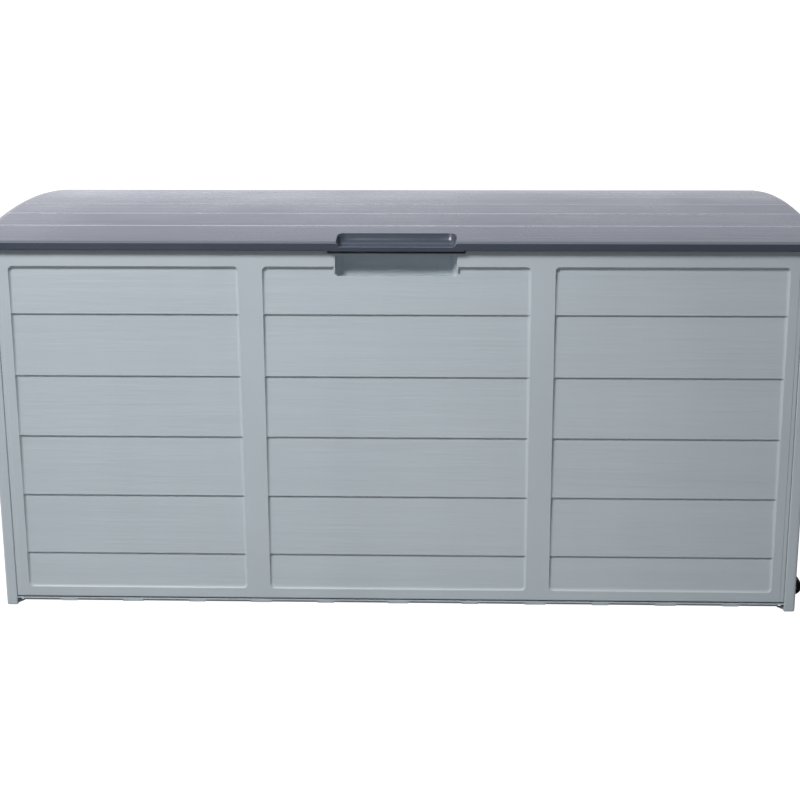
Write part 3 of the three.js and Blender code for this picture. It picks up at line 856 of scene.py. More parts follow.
@dataclass
class LongWall:
    """A long wall between two posts, in its own frame: u along it, v up, depth inwards."""

    name: str
    node: str
    back: bool
    grip: Grip | None
    bosses: list[tuple[Rect, float]]
    spans: tuple[tuple[float, float], ...] = ((-518.75, -210.5), (-178.5, 178.5), (210.5, 518.75))
    boards: Clapboards = Clapboards()
    skin: WallSkin = WallSkin()
    bottom_rib: float = 15.0
    side_rib: float = 20.0
    step_place: float = 530.5
    step: float = 0.5
    notch_half: float = 91.5
    notch_bottom: float = 505.25

    def __post_init__(self) -> None:
        """Takes the wall's ends, foot and top from the frame."""
        low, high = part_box(self.node)
        self.half = high.x / MM
        self.face = (high.y if self.back else -low.y) / MM
        self.foot, self.top = low.z / MM, high.z / MM

    def outer_depth(self, u: Array, v: Array) -> Array:
        """Depth of the outer face: boards, grip, the step beside each end and the eased rim.

        Args:
            u: Places along the wall.
            v: Heights.

        Returns:
            The depth at each point.
        """
        sunk, _ = self.boards.sunk(u, v, self.boards.fields(self.spans))
        if self.grip:
            sunk = self.grip.cut(u, v, sunk)
        sunk = sunk + self.step * ease((np.abs(u) - self.step_place) / 0.8)
        top = np.where(np.abs(u) < self.notch_half, self.notch_bottom, self.top) if self.grip else self.top
        rim = np.minimum.reduce([self.half - np.abs(u), v - self.foot, top - v])
        return sunk + rounded_edge(rim, self.skin.edge)

    def inner_depth(self, u: Array, v: Array) -> Array:
        """Depth of the inner face: the deepest outer face within reach, plus the skin, and the ribs.

        Args:
            u: Places along the wall.
            v: Heights.

        Returns:
            The depth at each point.
        """
        reach = (-self.skin.reach, 0.0, self.skin.reach)
        depth = np.max([self.outer_depth(u + du, v + dv) for du in reach for dv in reach], axis=0)
        depth = depth - self.skin.edge * (depth < self.skin.edge + 0.1) + self.skin.thickness
        ribs = [(np.abs(u) > self.half - self.skin.rib, self.side_rib)]
        ribs.append((v > self.top - self.skin.rib, self.skin.top_rib))
        ribs.append((v < self.foot + self.skin.rib, self.bottom_rib))
        ribs += [(rect.inside(u, v) > 0, deep) for rect, deep in self.bosses]
        return self.skin.ribbed(depth, ribs, u, v, self.boards.fields(self.spans))

    def lines(self) -> tuple[Array, Array]:
        """Grid lines along the wall and up it."""
        rib = self.skin.rib
        edges_u = [e for span in self.spans for e in span]
        edges_v = [self.boards.bottom, self.boards.top]
        exact_u = both_sides([self.half - rib]) + [e for r, _ in self.bosses for e in (r.left, r.right)]
        exact_v = [self.foot + rib, self.top - rib, *self.boards.nose_starts]
        exact_v += [e for r, _ in self.bosses for e in (r.bottom, r.top)]
        near_u = [x for e in edges_u for x in around(e)]
        near_u += both_sides(around(self.half, (0.4, 0.8, 1.2, 2.0, 3.6)))
        near_u += both_sides(around(self.step_place, (0.4, 0.8)))
        near_v = [x for e in edges_v for x in around(e)] + self.boards.lines()
        near_v += around(self.foot, (0.4, 0.8, 1.2, 3.6)) + around(self.top, (0.4, 0.8, 1.2, 3.6))
        if self.grip:
            exact_u += [-self.notch_half, self.notch_half]
            exact_v += [self.notch_bottom]
            along, high = self.grip.lines()
            near_u += along
            near_v += high
        return (
            grid_lines(-self.half, self.half, exact_u, near_u, 24.0),
            grid_lines(self.foot, self.top, exact_v, near_v, 22.0),
        )

    def build(self, palette: Palette) -> bpy.types.Object:
        """Makes the wall.

        Args:
            palette: The box's finishes.

        Returns:
            The wall's object.
        """
        u, v = np.meshgrid(*self.lines(), indexing="ij")
        turn = -1.0 if self.back else 1.0
        faces = []
        for deep in (self.outer_depth(u, v), self.inner_depth(u, v)):
            high = self.grip.lowered(u, v, deep) if self.grip else v
            faces.append(np.stack([turn * u, turn * (deep - self.face), high], -1))
        mid_u, mid_v = (u[1:, 1:] + u[:-1, :-1]) / 2, (v[1:, 1:] + v[:-1, :-1]) / 2
        keep = np.ones(mid_u.shape, bool)
        if self.grip:
            keep = ~((np.abs(mid_u) < self.notch_half) & (mid_v > self.notch_bottom))
        _, inside = self.boards.sunk(mid_u, mid_v, self.boards.fields(self.spans))
        if self.grip:
            inside = np.where(self.grip.mouth.inside(mid_u, mid_v) > 0.0, -1.0, inside)
        surface = wall_shell(*faces, keep, np.where(inside > 1.0, 0, 1))
        return surface.object(self.name, [palette.boards, palette.frame])


@dataclass
class EndWall:
    """An end wall with its two corner posts, as one moulding that wraps round the corners.

    Its plan is a hook at each side: down the post's inner face, across its front, round the corner
    and along the wall. In its own frame the depth is inwards from the outer face, and u runs from
    one corner to the other.
    """

    name: str
    node: str
    left: bool
    grip: Grip = Grip(60.0)
    spans: tuple[tuple[float, float], ...] = ((-198.5, 198.5),)
    boards: Clapboards = Clapboards()
    skin: WallSkin = WallSkin()
    post_width: float = 15.5
    post_depth: float = 22.0
    inner_corner: float = 1.4
    outer_corner: float = 3.2
    foot_round: float = 2.2
    wall_foot: float = 14.0
    wheels: tuple[float, ...] = ()
    well_half: float = 11.3
    well_depth: float = 9.2
    well_top: float = 34.2
    well_wall: float = 3.0
    axle_out: float = 6.5
    axle_height: float = 18.0
    lug_radius: float = 3.6

    def __post_init__(self) -> None:
        """Takes the wall's outer face, half width and top from the frame."""
        _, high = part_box(self.node)
        self.half, self.top = high.y / MM, high.z / MM

    @property
    def face(self) -> float:
        """How far the outer face is from the middle of the box."""
        _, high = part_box("front_panel")
        return high.x / MM + self.post_width + 0.3

    def plan(self) -> tuple[Array, Array, Array]:
        """The plan's outer outline, from one side of the wall to the other.

        Straight stretches are sampled at chosen places, and each corner is a quarter circle of five
        steps. The second half mirrors the first.

        Returns:
            Depth, place along the wall, and whether each point is on the wall's own face.
        """
        quarter = np.linspace(0, math.pi / 2, 6)
        r1, r2 = self.inner_corner, self.outer_corner
        up = np.array([self.post_depth, 16.0, 10.0, 5.0])
        first = np.stack([np.full(4, self.post_width), -self.half + up], 1)
        middle = np.array([self.post_width - r1, -self.half + r1])
        turn1 = middle + r1 * np.stack([np.cos(quarter), -np.sin(quarter)], 1)
        across = np.stack([np.array([12.2, 9.5, 6.5]), np.full(3, -self.half)], 1)
        turn2 = np.stack([r2 - r2 * np.sin(quarter), -self.half + r2 - r2 * np.cos(quarter)], 1)
        side = np.concatenate([first, turn1, across, turn2])
        limit = self.half - r2
        exact = both_sides([self.half - self.post_depth])
        well = both_sides([self.well_half, self.well_half + 0.5])
        exact += [wheel + place for wheel in self.wheels for place in well]
        near = [x for span in self.spans for e in span for x in around(e)] + self.grip.lines()[0]
        near += both_sides([self.half - 6.0, self.half - self.post_depth - 3.0])
        lines = grid_lines(-limit, limit, exact, near, 22.0)[1:-1]
        wall = np.stack([np.zeros(len(lines)), lines], 1)
        plan = np.concatenate([side, wall, side[::-1] * (1, -1)])
        return plan[:, 0], plan[:, 1], plan[:, 0] == 0

    def outer_depth(self, u: Array, v: Array) -> Array:
        """Depth of the wall's own face: boards, grip and wheel wells, all clear of the posts."""
        sunk, _ = self.boards.sunk(u, v, self.boards.fields(self.spans))
        sunk = self.grip.cut(u, v, sunk)
        for wheel in self.wheels:
            well = (np.abs(u - wheel) < self.well_half + 0.01) & (v < self.well_top + 0.01)
            sunk = np.where(well, self.well_depth, sunk)
        return sunk

    def inner_depth(self, u: Array, v: Array) -> Array:
        """Depth of the inner face, as for a long wall, with a rib at the top and round the field."""
        reach = (-self.skin.reach, 0.0, self.skin.reach)
        depth = np.max([self.outer_depth(u + du, v + dv) for du in reach for dv in reach], axis=0)
        depth = depth + self.skin.thickness
        clear = np.abs(u) < self.half - self.post_depth - 0.5
        ribs = [((v > self.top - self.skin.rib) & clear, self.skin.top_rib)]
        ribs.append(((v < self.wall_foot + self.skin.rib) & clear, self.skin.top_rib))
        return self.skin.ribbed(depth, ribs, u, v, self.boards.fields(self.spans))

    def height_lines(self) -> Array:
        """Grid lines up the wall."""
        rib = self.skin.rib
        exact = [self.wall_foot, self.wall_foot + rib, self.top - rib, *self.boards.nose_starts]
        near = [x for e in (self.boards.bottom, self.boards.top) for x in around(e)] + self.boards.lines()
        near += [0.4, 0.8, 1.2, 1.6, 2.4, 4.0] + around(self.top, (0.4, 0.8, 1.2, 3.6))
        near += self.grip.lines()[1]
        if self.wheels:
            exact += [self.well_top, self.well_top + 0.5]
        return grid_lines(0.0, self.top, exact, near, 22.0)

    def world(self, deep: Array, along: Array, high: Array) -> Array:
        """Points of the wall's own frame in the box's frame."""
        if self.left:
            return np.stack([deep - self.face, -along, high], -1)
        return np.stack([self.face - deep, along, high], -1)

    def shell(self) -> Surface:
        """The wall and posts: the plan carried up, with each point set back along its own normal.

        The inner face keeps to a channel inside the posts, whose plan is the outer one drawn in
        evenly, and to the skin's thickness behind the wall.

        Returns:
            The closed surface.
        """
        deep, along, on_wall = self.plan()
        rows = self.height_lines()
        step = np.gradient(np.stack([deep, along], 1), axis=0)
        normal = np.stack([step[:, 1], -step[:, 0]], 1) / np.linalg.norm(step, axis=1, keepdims=True)
        high = np.broadcast_to(rows, (len(deep), len(rows)))
        u = np.broadcast_to(along[:, None], high.shape)
        face = np.where(on_wall[:, None], self.outer_depth(u, high), 0.0)
        rim = rounded_edge(self.top - high, self.skin.edge) + rounded_edge(high, self.foot_round)
        foot_edge = rounded_edge(np.maximum(high - self.wall_foot, 0), self.skin.edge)
        wall_foot = np.where(np.abs(u) < self.half - self.post_depth, foot_edge, 0.0)
        pocket = face > self.well_depth - 0.1
        back = face + np.where(pocket, 0.0, rim + wall_foot)
        outer_deep = deep[:, None] + normal[:, :1] * back
        outer_along = u + normal[:, 1:] * back
        thick = self.skin.thickness
        share = (self.post_depth - thick) / self.post_depth
        past = np.abs(along) - (self.half - self.post_depth)
        drawn = np.where(past > 0, np.sign(along) * (np.abs(along) - past * (1 - share)), along)
        inner_deep = thick + deep * (self.post_width - 2 * thick) / self.post_width
        inner_face = np.where(on_wall[:, None], self.inner_depth(u, high) - thick, 0.0)
        inner_face = np.where(np.abs(u) < self.half - self.post_depth - 0.4, inner_face, 0.0)
        inner_deep = inner_deep[:, None] + inner_face
        outer = self.world(outer_deep, outer_along, self.grip.lowered(u, high, outer_deep))
        inner_along = np.broadcast_to(drawn[:, None], high.shape)
        inner = self.world(inner_deep, inner_along, self.grip.lowered(u, high, inner_deep))
        mid_u, mid_v = (u[1:, 1:] + u[:-1, :-1]) / 2, (high[1:, 1:] + high[:-1, :-1]) / 2
        open_foot = self.half - self.post_depth
        keep = ~((np.abs(mid_u) < open_foot) & (mid_v < self.wall_foot))
        _, inside = self.boards.sunk(mid_u, mid_v, self.boards.fields(self.spans))
        inside = np.where(self.grip.mouth.inside(mid_u, mid_v) > 0.0, -1.0, inside)
        return wall_shell(outer, inner, keep, np.where(inside > 1.0, 0, 1))

    def foot_pad(self, side: int) -> Surface:
        """The pad that closes a leg's channel, just above the ground."""
        inset = self.skin.thickness - 0.6
        low = self.half - self.post_depth + 0.3
        high = self.half - inset
        ends = sorted((side * low, side * high))
        deep = (inset, self.post_width - inset)
        outline = np.array([[deep[0], ends[0]], [deep[1], ends[0]], [deep[1], ends[1]], [deep[0], ends[1]]])
        plate = bevelled_plate(outline, 0.2, 4.0, 0.5)
        return self.carried(plate)

    def upright(self, plate: Surface, middle: float) -> Surface:
        """A plate stood up across the wall at a place along it, and carried into the box's frame."""
        across, high, thick = plate.points.T
        return self.carried(Surface(np.stack([across, middle - thick, high], 1), plate.faces, plate.finishes))

    def carried(self, plate: Surface) -> Surface:
        """A plate drawn in depth, place and height, carried into the box's frame, still facing out."""
        world = self.world(*plate.points.T)
        flipped = [block[:, ::-1] for block in plate.faces]
        return Surface(world, flipped, [np.ones(len(b), int) for b in plate.faces])

    def gusset(self, side: int) -> Surface:
        """The small web that braces a leg under the long wall."""
        start, end, low, high = self.post_width - 1.0, self.post_width + 8.0, 0.5, 5.2
        outline = np.array([[start, low], [end, high - 0.9], [end, high], [start, high]])
        middle = side * (self.half - 9.0)
        return self.upright(bevelled_plate(outline, -2.0, 2.0, 0.3), middle)

    def lugs(self, wheel: float) -> list[Surface]:
        """The two ears that hold a wheel's axle: a round nose outside the wall, tapering back to it."""
        angle = np.linspace(math.pi / 2, 3 * math.pi / 2, 15)
        axle = np.array([-self.axle_out, self.axle_height])
        nose = axle + self.lug_radius * np.stack([np.cos(angle), np.sin(angle)], 1)
        outline = np.concatenate([nose, [[2.0, self.wall_foot + 0.4], [2.0, self.wall_foot + 12.0]]])
        ears = []
        for side in (-1, 1):
            middle = wheel + side * (self.well_half + self.well_wall / 2)
            plate = bevelled_plate(outline, -self.well_wall / 2, self.well_wall / 2, 0.4)
            ears.append(self.upright(plate, middle))
        return ears

    def build(self, palette: Palette) -> bpy.types.Object:
        """Makes the end wall with its posts, pads, gussets and lugs."""
        surface = self.shell()
        for side in (-1, 1):
            surface.join(self.foot_pad(side)).join(self.gusset(side))
        for wheel in self.wheels:
            for ear in self.lugs(wheel):
                surface.join(ear)
        return surface.object(self.name, [palette.end_boards, palette.frame])


# ------------------------------------------------------------------ lid
@dataclass
class Lid:
    """The arched lid: planks with V joints on top, a skirt around, ribs and a landing ring below."""

    name: str = "lid_shell"
    crest: float = 537.0
    edge_top: float = 520.5
    edge_bottom: float = 510.0
    wall: float = 3.5
    edge_drop: float = 1.6
    edge_width: float = 8.0
    plan_radius: float = 6.0
    joints: tuple[float, ...] = (-164.0, -89.0, -14.0, 61.0, 136.0, 211.0)
    joint_near: float = 4.0
    joint_far: float = 1.4
    joint_depth: float = 0.6
    # Band behind each joint, in mm, that gets the pale finish: a painted highlight along the plank edge.
    joint_highlight_band: tuple[float, float] = (-0.4, 2.4)
    scoop_half: float = 80.0
    scoop_back: float = -202.0
    scoop_heel: float = -215.0
    scoop_floor: float = 511.6
    scoop_corner: float = 12.0
    scoop_end: float = 4.8
    lip_top: float = 514.8
    lip_half: float = 91.0
    lip_bottom: float = 508.4
    rib_half: float = 1.5
    rib_depth: float = 8.0
    ribs_x: tuple[float, ...] = (-440.0, -220.0, 0.0, 220.0, 440.0)
    ribs_y: tuple[float, ...] = (-150.0, 0.0, 150.0)
    ring_y: float = 232.5
    ring_x: float = 548.0
    ring_width: float = 3.5
    ring_bottom: float = 509.3

    def __post_init__(self) -> None:
        """Takes the lid's plan from the frame, and works out the radius of its arch."""
        _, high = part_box("lid")
        self.half_x, self.half_y = high.x / MM, high.y / MM
        rise = self.crest - self.edge_top
        self.radius = (self.half_y**2 + rise**2) / (2 * rise)

    def arch(self, y: Array, set_in: float = 0.0) -> Array:
        """Height of the arch: a circle's height over the middle, set in by a depth."""
        return self.crest - self.radius + np.sqrt((self.radius - set_in) ** 2 - y**2)

    def scooped(self, x: Array, y: Array) -> Array:
        """Top of the lid with its scoop, before the joints.

        In the scoop the section along y is a lip at the front, a flat floor and a back wall that
        curves up in a quarter circle. Its ends slope in, and its rear corners are round in plan.

        Args:
            x: Places along the lid.
            y: Places across it.

        Returns:
            The height at each point.
        """
        top = self.arch(np.clip(y, -self.half_y, self.half_y))
        back = self.scoop_back - rounded_edge(self.scoop_half - np.abs(x), self.scoop_corner)
        rise = 1.0 - quarter_round((back - y) / (self.scoop_back - self.scoop_heel))
        floor = self.scoop_floor + (self.arch(self.scoop_back) - self.scoop_floor) * rise
        lip = self.lip_top - rounded_edge(np.maximum(-self.half_y + self.wall - y, 0), 1.0)
        floor = np.where(y < -self.half_y + self.wall + 0.01, lip, floor)
        depth = np.maximum(top - floor, 0.0) * (y < back)
        return top - depth * ease((self.scoop_half - np.abs(x)) / self.scoop_end)

    def top(self, x: Array, y: Array) -> Array:
        """Top of the lid: the scooped arch with a joint between planks.

        A plank's rear edge rolls down to the joint over a wide band, and the next one rises more
        steeply. Each is a parabola: the joint's depth times the square of the share left.
        """
        height = self.scooped(x, y)
        for joint in self.joints:
            past = y - joint
            share = 1 - np.where(past < 0, -past / self.joint_near, past / self.joint_far)
            height = height - self.joint_depth * np.clip(share, 0, 1) ** 2
        return height

    def under(self, x: Array, y: Array) -> Array:
        """Underside: the lowest scooped top within reach less the skin, and the ribs and ring."""
        reach = (-3.0, 0.0, 3.0)
        lowest = np.min([self.scooped(x + dx, y + dy) for dx in reach for dy in reach], axis=0)
        skin = np.minimum(lowest - self.wall + 0.3, self.arch(y, self.wall))
        deep = self.arch(y, self.wall + self.rib_depth)
        for place in self.ribs_x:
            there = (np.abs(x - place) < self.rib_half + 0.01) & (np.abs(y) < self.ring_y)
            skin = np.where(there, np.minimum(skin, deep), skin)
        for place in self.ribs_y:
            there = (np.abs(y - place) < self.rib_half + 0.01) & (np.abs(x) < self.ring_x)
            skin = np.where(there, np.minimum(skin, deep), skin)
        half = self.ring_width / 2
        on_x = (np.abs(np.abs(x) - self.ring_x + half) < half + 0.01) & (np.abs(y) < self.ring_y + 0.01)
        on_y = (np.abs(np.abs(y) - self.ring_y + half) < half + 0.01) & (np.abs(x) < self.ring_x + 0.01)
        skin = np.where(on_x | on_y, np.minimum(skin, self.ring_bottom), skin)
        return np.maximum(skin, self.lip_bottom + 0.6)

    def lines(self) -> tuple[Array, Array]:
        """Grid lines of the underside along x and y. The top's grid is the same, drawn out."""
        in_x, in_y = self.half_x - self.wall, self.half_y - self.wall
        wide_y = in_y / self.half_y
        rib = both_sides([self.rib_half, self.rib_half + 0.45])
        ring = (0.0, -self.ring_width, -self.ring_width - 0.45, 0.45)
        exact_x = [place + step for place in self.ribs_x for step in rib]
        exact_x += both_sides([self.ring_x + step for step in ring])
        exact_y = [place + step for place in self.ribs_y for step in rib]
        exact_y += both_sides([self.ring_y + step for step in ring])
        exact_y += [j * wide_y for j in self.joints]
        rim = (0.4, 0.8, 1.2, 1.8, 3.0, 4.4, 6.0, 8.0)
        scoop = (0.8, 1.6, 2.4, 3.2, 4.0, 4.8, 6.4, 8.0, 10.0, 12.0)
        near_x = both_sides(around(self.scoop_half, scoop) + around(self.lip_half, (0.6, 1.6)))
        near_x += both_sides([in_x - step for step in rim])
        near_y = both_sides([in_y - step for step in rim])
        near_y += [self.scoop_heel * wide_y + h for h in np.arange(0.0, 14.0, 1.2)]
        near_y += [(self.wall - self.half_y) * wide_y + h for h in (-0.4, 0.0, 0.4, 1.0)]
        roll = (-4.0, -2.8, -2.0, -1.2, -0.4, 0.4, 0.8, 1.2, 1.6, 2.4)
        near_y += [j * wide_y + h for j in self.joints for h in roll]
        return (
            grid_lines(-in_x, in_x, exact_x, near_x, 26.0),
            grid_lines(-in_y, in_y, exact_y, near_y, 9.0),
        )

    def rounded_plan(
        self, x: Array, y: Array, half_x: float, half_y: float, radius: float
    ) -> tuple[Array, Array, Array]:
        """Bends the grid's corners round: a square corner is laid onto a quarter disc.

        p' = p sqrt(1 - q^2 / 2) and q' = q sqrt(1 - p^2 / 2), for p and q from 0 to 1 in the corner.

        Args:
            x: Places along the lid.
            y: Places across it.
            half_x: Half length.
            half_y: Half depth.
            radius: The corner's radius.

        Returns:
            The bent x and y, and the distance in from the outline.
        """
        p = (np.abs(x) - half_x + radius) / radius
        q = (np.abs(y) - half_y + radius) / radius
        corner = (p > 0) & (q > 0)
        bent_p = np.where(corner, p * np.sqrt(np.clip(1 - q * q / 2, 0, 1)), p)
        bent_q = np.where(corner, q * np.sqrt(np.clip(1 - p * p / 2, 0, 1)), q)
        away = np.hypot(np.maximum(bent_p, 0), np.maximum(bent_q, 0))
        bent_x = np.sign(x) * (half_x - radius + bent_p * radius)
        bent_y = np.sign(y) * (half_y - radius + bent_q * radius)
        return bent_x, bent_y, radius * (1 - away)

    def build(self, palette: Palette) -> bpy.types.Object:
        """Makes the lid: top grid, skirt rings, underside grid, joined round the rim.

        Args:
            palette: The box's finishes.

        Returns:
            The lid's object.
        """
        x, y = np.meshgrid(*self.lines(), indexing="ij")
        in_x, in_y = self.half_x - self.wall, self.half_y - self.wall
        wide_x, wide_y = x * self.half_x / in_x, y * self.half_y / in_y
        top_x, top_y, inset = self.rounded_plan(wide_x, wide_y, self.half_x, self.half_y, self.plan_radius)
        rolled = self.edge_drop * np.clip(1 - inset / self.edge_width, 0, 1)
        top_z = self.top(top_x, top_y) - rolled * (1 - 0.6 * self.in_scoop(top_x, top_y))
        low_x, low_y, _ = self.rounded_plan(x, y, in_x, in_y, self.plan_radius - self.wall + 1.5)
        top = np.stack([top_x, top_y, top_z], -1)
        low = np.stack([low_x, low_y, self.under(low_x, low_y)], -1)
        rows, columns = x.shape
        index = np.arange(rows * columns).reshape(rows, columns)
        loop = np.concatenate([index[:, 0], index[-1, 1:], index[-2::-1, -1], index[0, -2:0:-1]])
        above, below = top.reshape(-1, 3)[loop], low.reshape(-1, 3)[loop]
        foot = self.skirt_foot(above)
        rings = []
        for share in (0.35, 0.8, 1.0):
            ring = above.copy()
            ring[:, 2] = above[:, 2] + (foot + 0.5 - above[:, 2]) * share
            rings.append(ring)
        eased = above.copy()
        eased[:, :2] *= 1 - 0.5 / np.abs(above[:, :2]).max()
        eased[:, 2] = foot
        inner_foot = below.copy()
        inner_foot[:, 2] = foot
        rings += [eased, inner_foot]
        a, b, c, d = cell_corners(rows, columns)
        deep = rows * columns
        blocks = [np.stack([a, b, c, d], -1).reshape(-1, 4), np.stack([a, d, c, b], -1).reshape(-1, 4) + deep]
        starts = 2 * deep + len(loop) * np.arange(len(rings))
        numbers = [loop, *(start + np.arange(len(loop)) for start in starts), loop + deep]
        for first, second in zip(numbers[:-1], numbers[1:]):
            after_first, after_second = np.roll(first, -1), np.roll(second, -1)
            blocks.append(np.stack([first, second, after_second, after_first], -1))
        points = np.concatenate([top.reshape(-1, 3), low.reshape(-1, 3), *rings])
        middle = (top_y[1:, 1:] + top_y[:-1, :-1]).reshape(-1, 1) / 2 - np.array(self.joints)
        # Faces in that band behind each joint take the pale finish, a painted highlight on the joint's rounded
        # rear edge.
        highlighted = ((middle > self.joint_highlight_band[0]) & (middle < self.joint_highlight_band[1])).any(axis=1)
        finishes = [np.where(highlighted, 2, 0)] + [1] * (len(blocks) - 1)
        materials = [palette.lid, palette.lid_rim, palette.lid_edge_highlight]
        return Surface().add(points, blocks, finishes).object(self.name, materials)

    def in_scoop(self, x: Array, y: Array) -> Array:
        """1 on the lip in front of the scoop, and 0 elsewhere."""
        return ease((self.scoop_half - np.abs(x)) / 3.0) * (y < self.scoop_back)

    def skirt_foot(self, rim: Array) -> Array:
        """Height of the skirt's foot at each point of the rim: lower in front, below the scoop."""
        lip = ease((self.lip_half - np.abs(rim[:, 0])) / 1.6) * (rim[:, 1] < -self.half_y + 0.5)
        return self.edge_bottom + (self.lip_bottom - self.edge_bottom) * lip


# ------------------------------------------------------------------ hardware
class Drive(Enum):
    """What a fixing's head has to turn it."""

    CROSS = "cross"
    PLAIN = "plain"


@dataclass(frozen=True)
class Fixing:
    """A headed pin or screw along an axis, from its head's top to its tip."""

    shank: float
    head: float
    head_height: float
    drive: Drive = Drive.CROSS
    thread: float = 0.0
    sides: int = 24

    def profile(self, length: float) -> tuple[Array, Array]:
        """Radii and heights from the middle of the head, over its rim and down to the tip.

        The head is a low dome, the square of the radius off its height, and a thread is a run of
        small ridges on the shank.

        Args:
            length: From the head's top to the tip.

        Returns:
            The radii and the heights.
        """
        face = np.linspace(0, 0.92, 12) * self.head
        dome = 0.3 * self.head_height * (face / self.head) ** 2
        rim_r = np.array([0.97, 1.0, 1.0, 0.96]) * self.head
        rim_z = np.array([0.36, 0.5, 0.9, 1.0]) * self.head_height
        start, end = self.head_height + 0.1, length - 0.8
        if self.thread:
            turns = max(int((end - start) / 1.1), 1)
            z = np.linspace(start, end, 2 * turns + 1)
            r = self.shank - self.thread * (np.arange(len(z)) % 2)
        else:
            z, r = np.array([start, end]), np.array([self.shank, self.shank])
        tip_r, tip_z = np.array([0.55 * self.shank, 0.0]), np.array([length - 0.1, length])
        return np.concatenate([face, rim_r, r, tip_r]), np.concatenate([dome, rim_z, z, tip_z])

    def surface(self, length: float) -> Surface:
        """The fixing along +Z from its head's top. A cross drive is two short slots pressed in."""
        radius, along = self.profile(length)
        if self.drive is Drive.PLAIN:
            return turned(radius, along, self.sides)
        angle = np.arange(self.sides) * (2 * math.pi / self.sides)
        p, q = np.abs(np.outer(np.cos(angle), radius)), np.abs(np.outer(np.sin(angle), radius))
        slot = 1 - ease((np.minimum(p, q) - 0.12 * self.head) / (0.1 * self.head))
        end = 1 - ease((np.maximum(p, q) - 0.5 * self.head) / (0.1 * self.head))
        dent = 0.45 * self.head_height * slot * end * (along <= 0.35 * self.head_height)
        return turned(radius, along, self.sides, dent)


def along_axis(centre: Vector, axis: Vector) -> Matrix:
    """The turn and move that carry +Z at zero onto an axis through a point, in millimetres."""
    turn = Vector((0, 0, 1)).rotation_difference(axis).to_matrix().to_4x4()
    return Matrix.Translation(centre) @ turn


@dataclass
class Hardware:
    """Screws, pins, axles and clips, each in the place of its frame node."""

    palette: Palette

    def span(self, node: str, axis: Vector) -> tuple[Vector, float]:
        """The start of a node on its own axis, in millimetres, and its length along the axis.

        Args:
            node: The node's name.
            axis: Which way it points, from head to tip.

        Returns:
            The start and the length.
        """
        low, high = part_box(node)
        middle, size = (low + high) / (2 * MM), (high - low) / MM
        length = abs(size.dot(axis))
        return middle - axis * length / 2, length

    def fixing(self, node: str, axis: Vector, kind: Fixing, material: bpy.types.Material) -> bpy.types.Object:
        """Makes a fixing in a node's place."""
        start, length = self.span(node, axis)
        surface = kind.surface(length).placed(along_axis(start, axis))
        return surface.object(f"{node}_turned", [material])

    def clip(self, node: str) -> bpy.types.Object:
        """Makes an axle's push-on cap: a domed cup with a small flange, blind at its outer end."""
        back = Vector((0, 1, 0))
        start, length = self.span(node, back)
        radius = np.array([2.3, 3.1, 3.2, 3.2, 2.9, 2.9, 2.6, 1.6, 0.0])
        along = np.array([0.0, 0.0, 0.15, 0.7, 0.9, length - 0.7, length - 0.25, length - 0.05, length])
        hollow_radius, hollow_along = np.array([0.0, 2.3]), np.full(2, length - 0.9)
        profile = np.concatenate([hollow_radius, radius]), np.concatenate([hollow_along, along])
        surface = turned(*profile, 24).placed(along_axis(start, back))
        return surface.object(f"{node}_turned", [self.palette.wheel])


@dataclass
class Wheel:
    """A small solid wheel: rounded tread with grooves, a dished hub on each face and a bore."""

    node: str
    bore: float = 2.1
    shoulder: float = 2.2
    dish: float = 1.4
    groove: float = 0.5
    sides: int = 64

    def build(self, material: bpy.types.Material) -> bpy.types.Object:
        """Turns the wheel's closed section about its axle.

        Args:
            material: The wheel's finish.

        Returns:
            The wheel's object.
        """
        low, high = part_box(self.node)
        centre, size = (low + high) / (2 * MM), (high - low) / MM
        radius, half = size.z / 2, size.y / 2
        arc = np.linspace(0, math.pi / 2, 6)
        round_r = radius - self.shoulder + self.shoulder * np.sin(arc)
        round_z = -half + self.shoulder - self.shoulder * np.cos(arc)
        tread_z = np.linspace(-half + self.shoulder + 1.0, half - self.shoulder - 1.0, 17)
        tread_r = radius - self.groove * (np.arange(17) % 4 == 2)
        face_r = np.array([self.bore, 4.2, 4.7, 5.4, 8.2, 8.9, 9.4])
        face_z = -half + np.array([0.0, 0.0, 0.3, self.dish, self.dish, 0.3, 0.0])
        r = np.concatenate([face_r, round_r, tread_r, round_r[::-1], face_r[::-1]])
        z = np.concatenate([face_z, round_z, tread_z, -round_z[::-1], -face_z[::-1]])
        surface = turned(r, z, self.sides).placed(along_axis(centre, Vector((0, 1, 0))))
        return surface.object(f"{self.node}_tyre", [material])


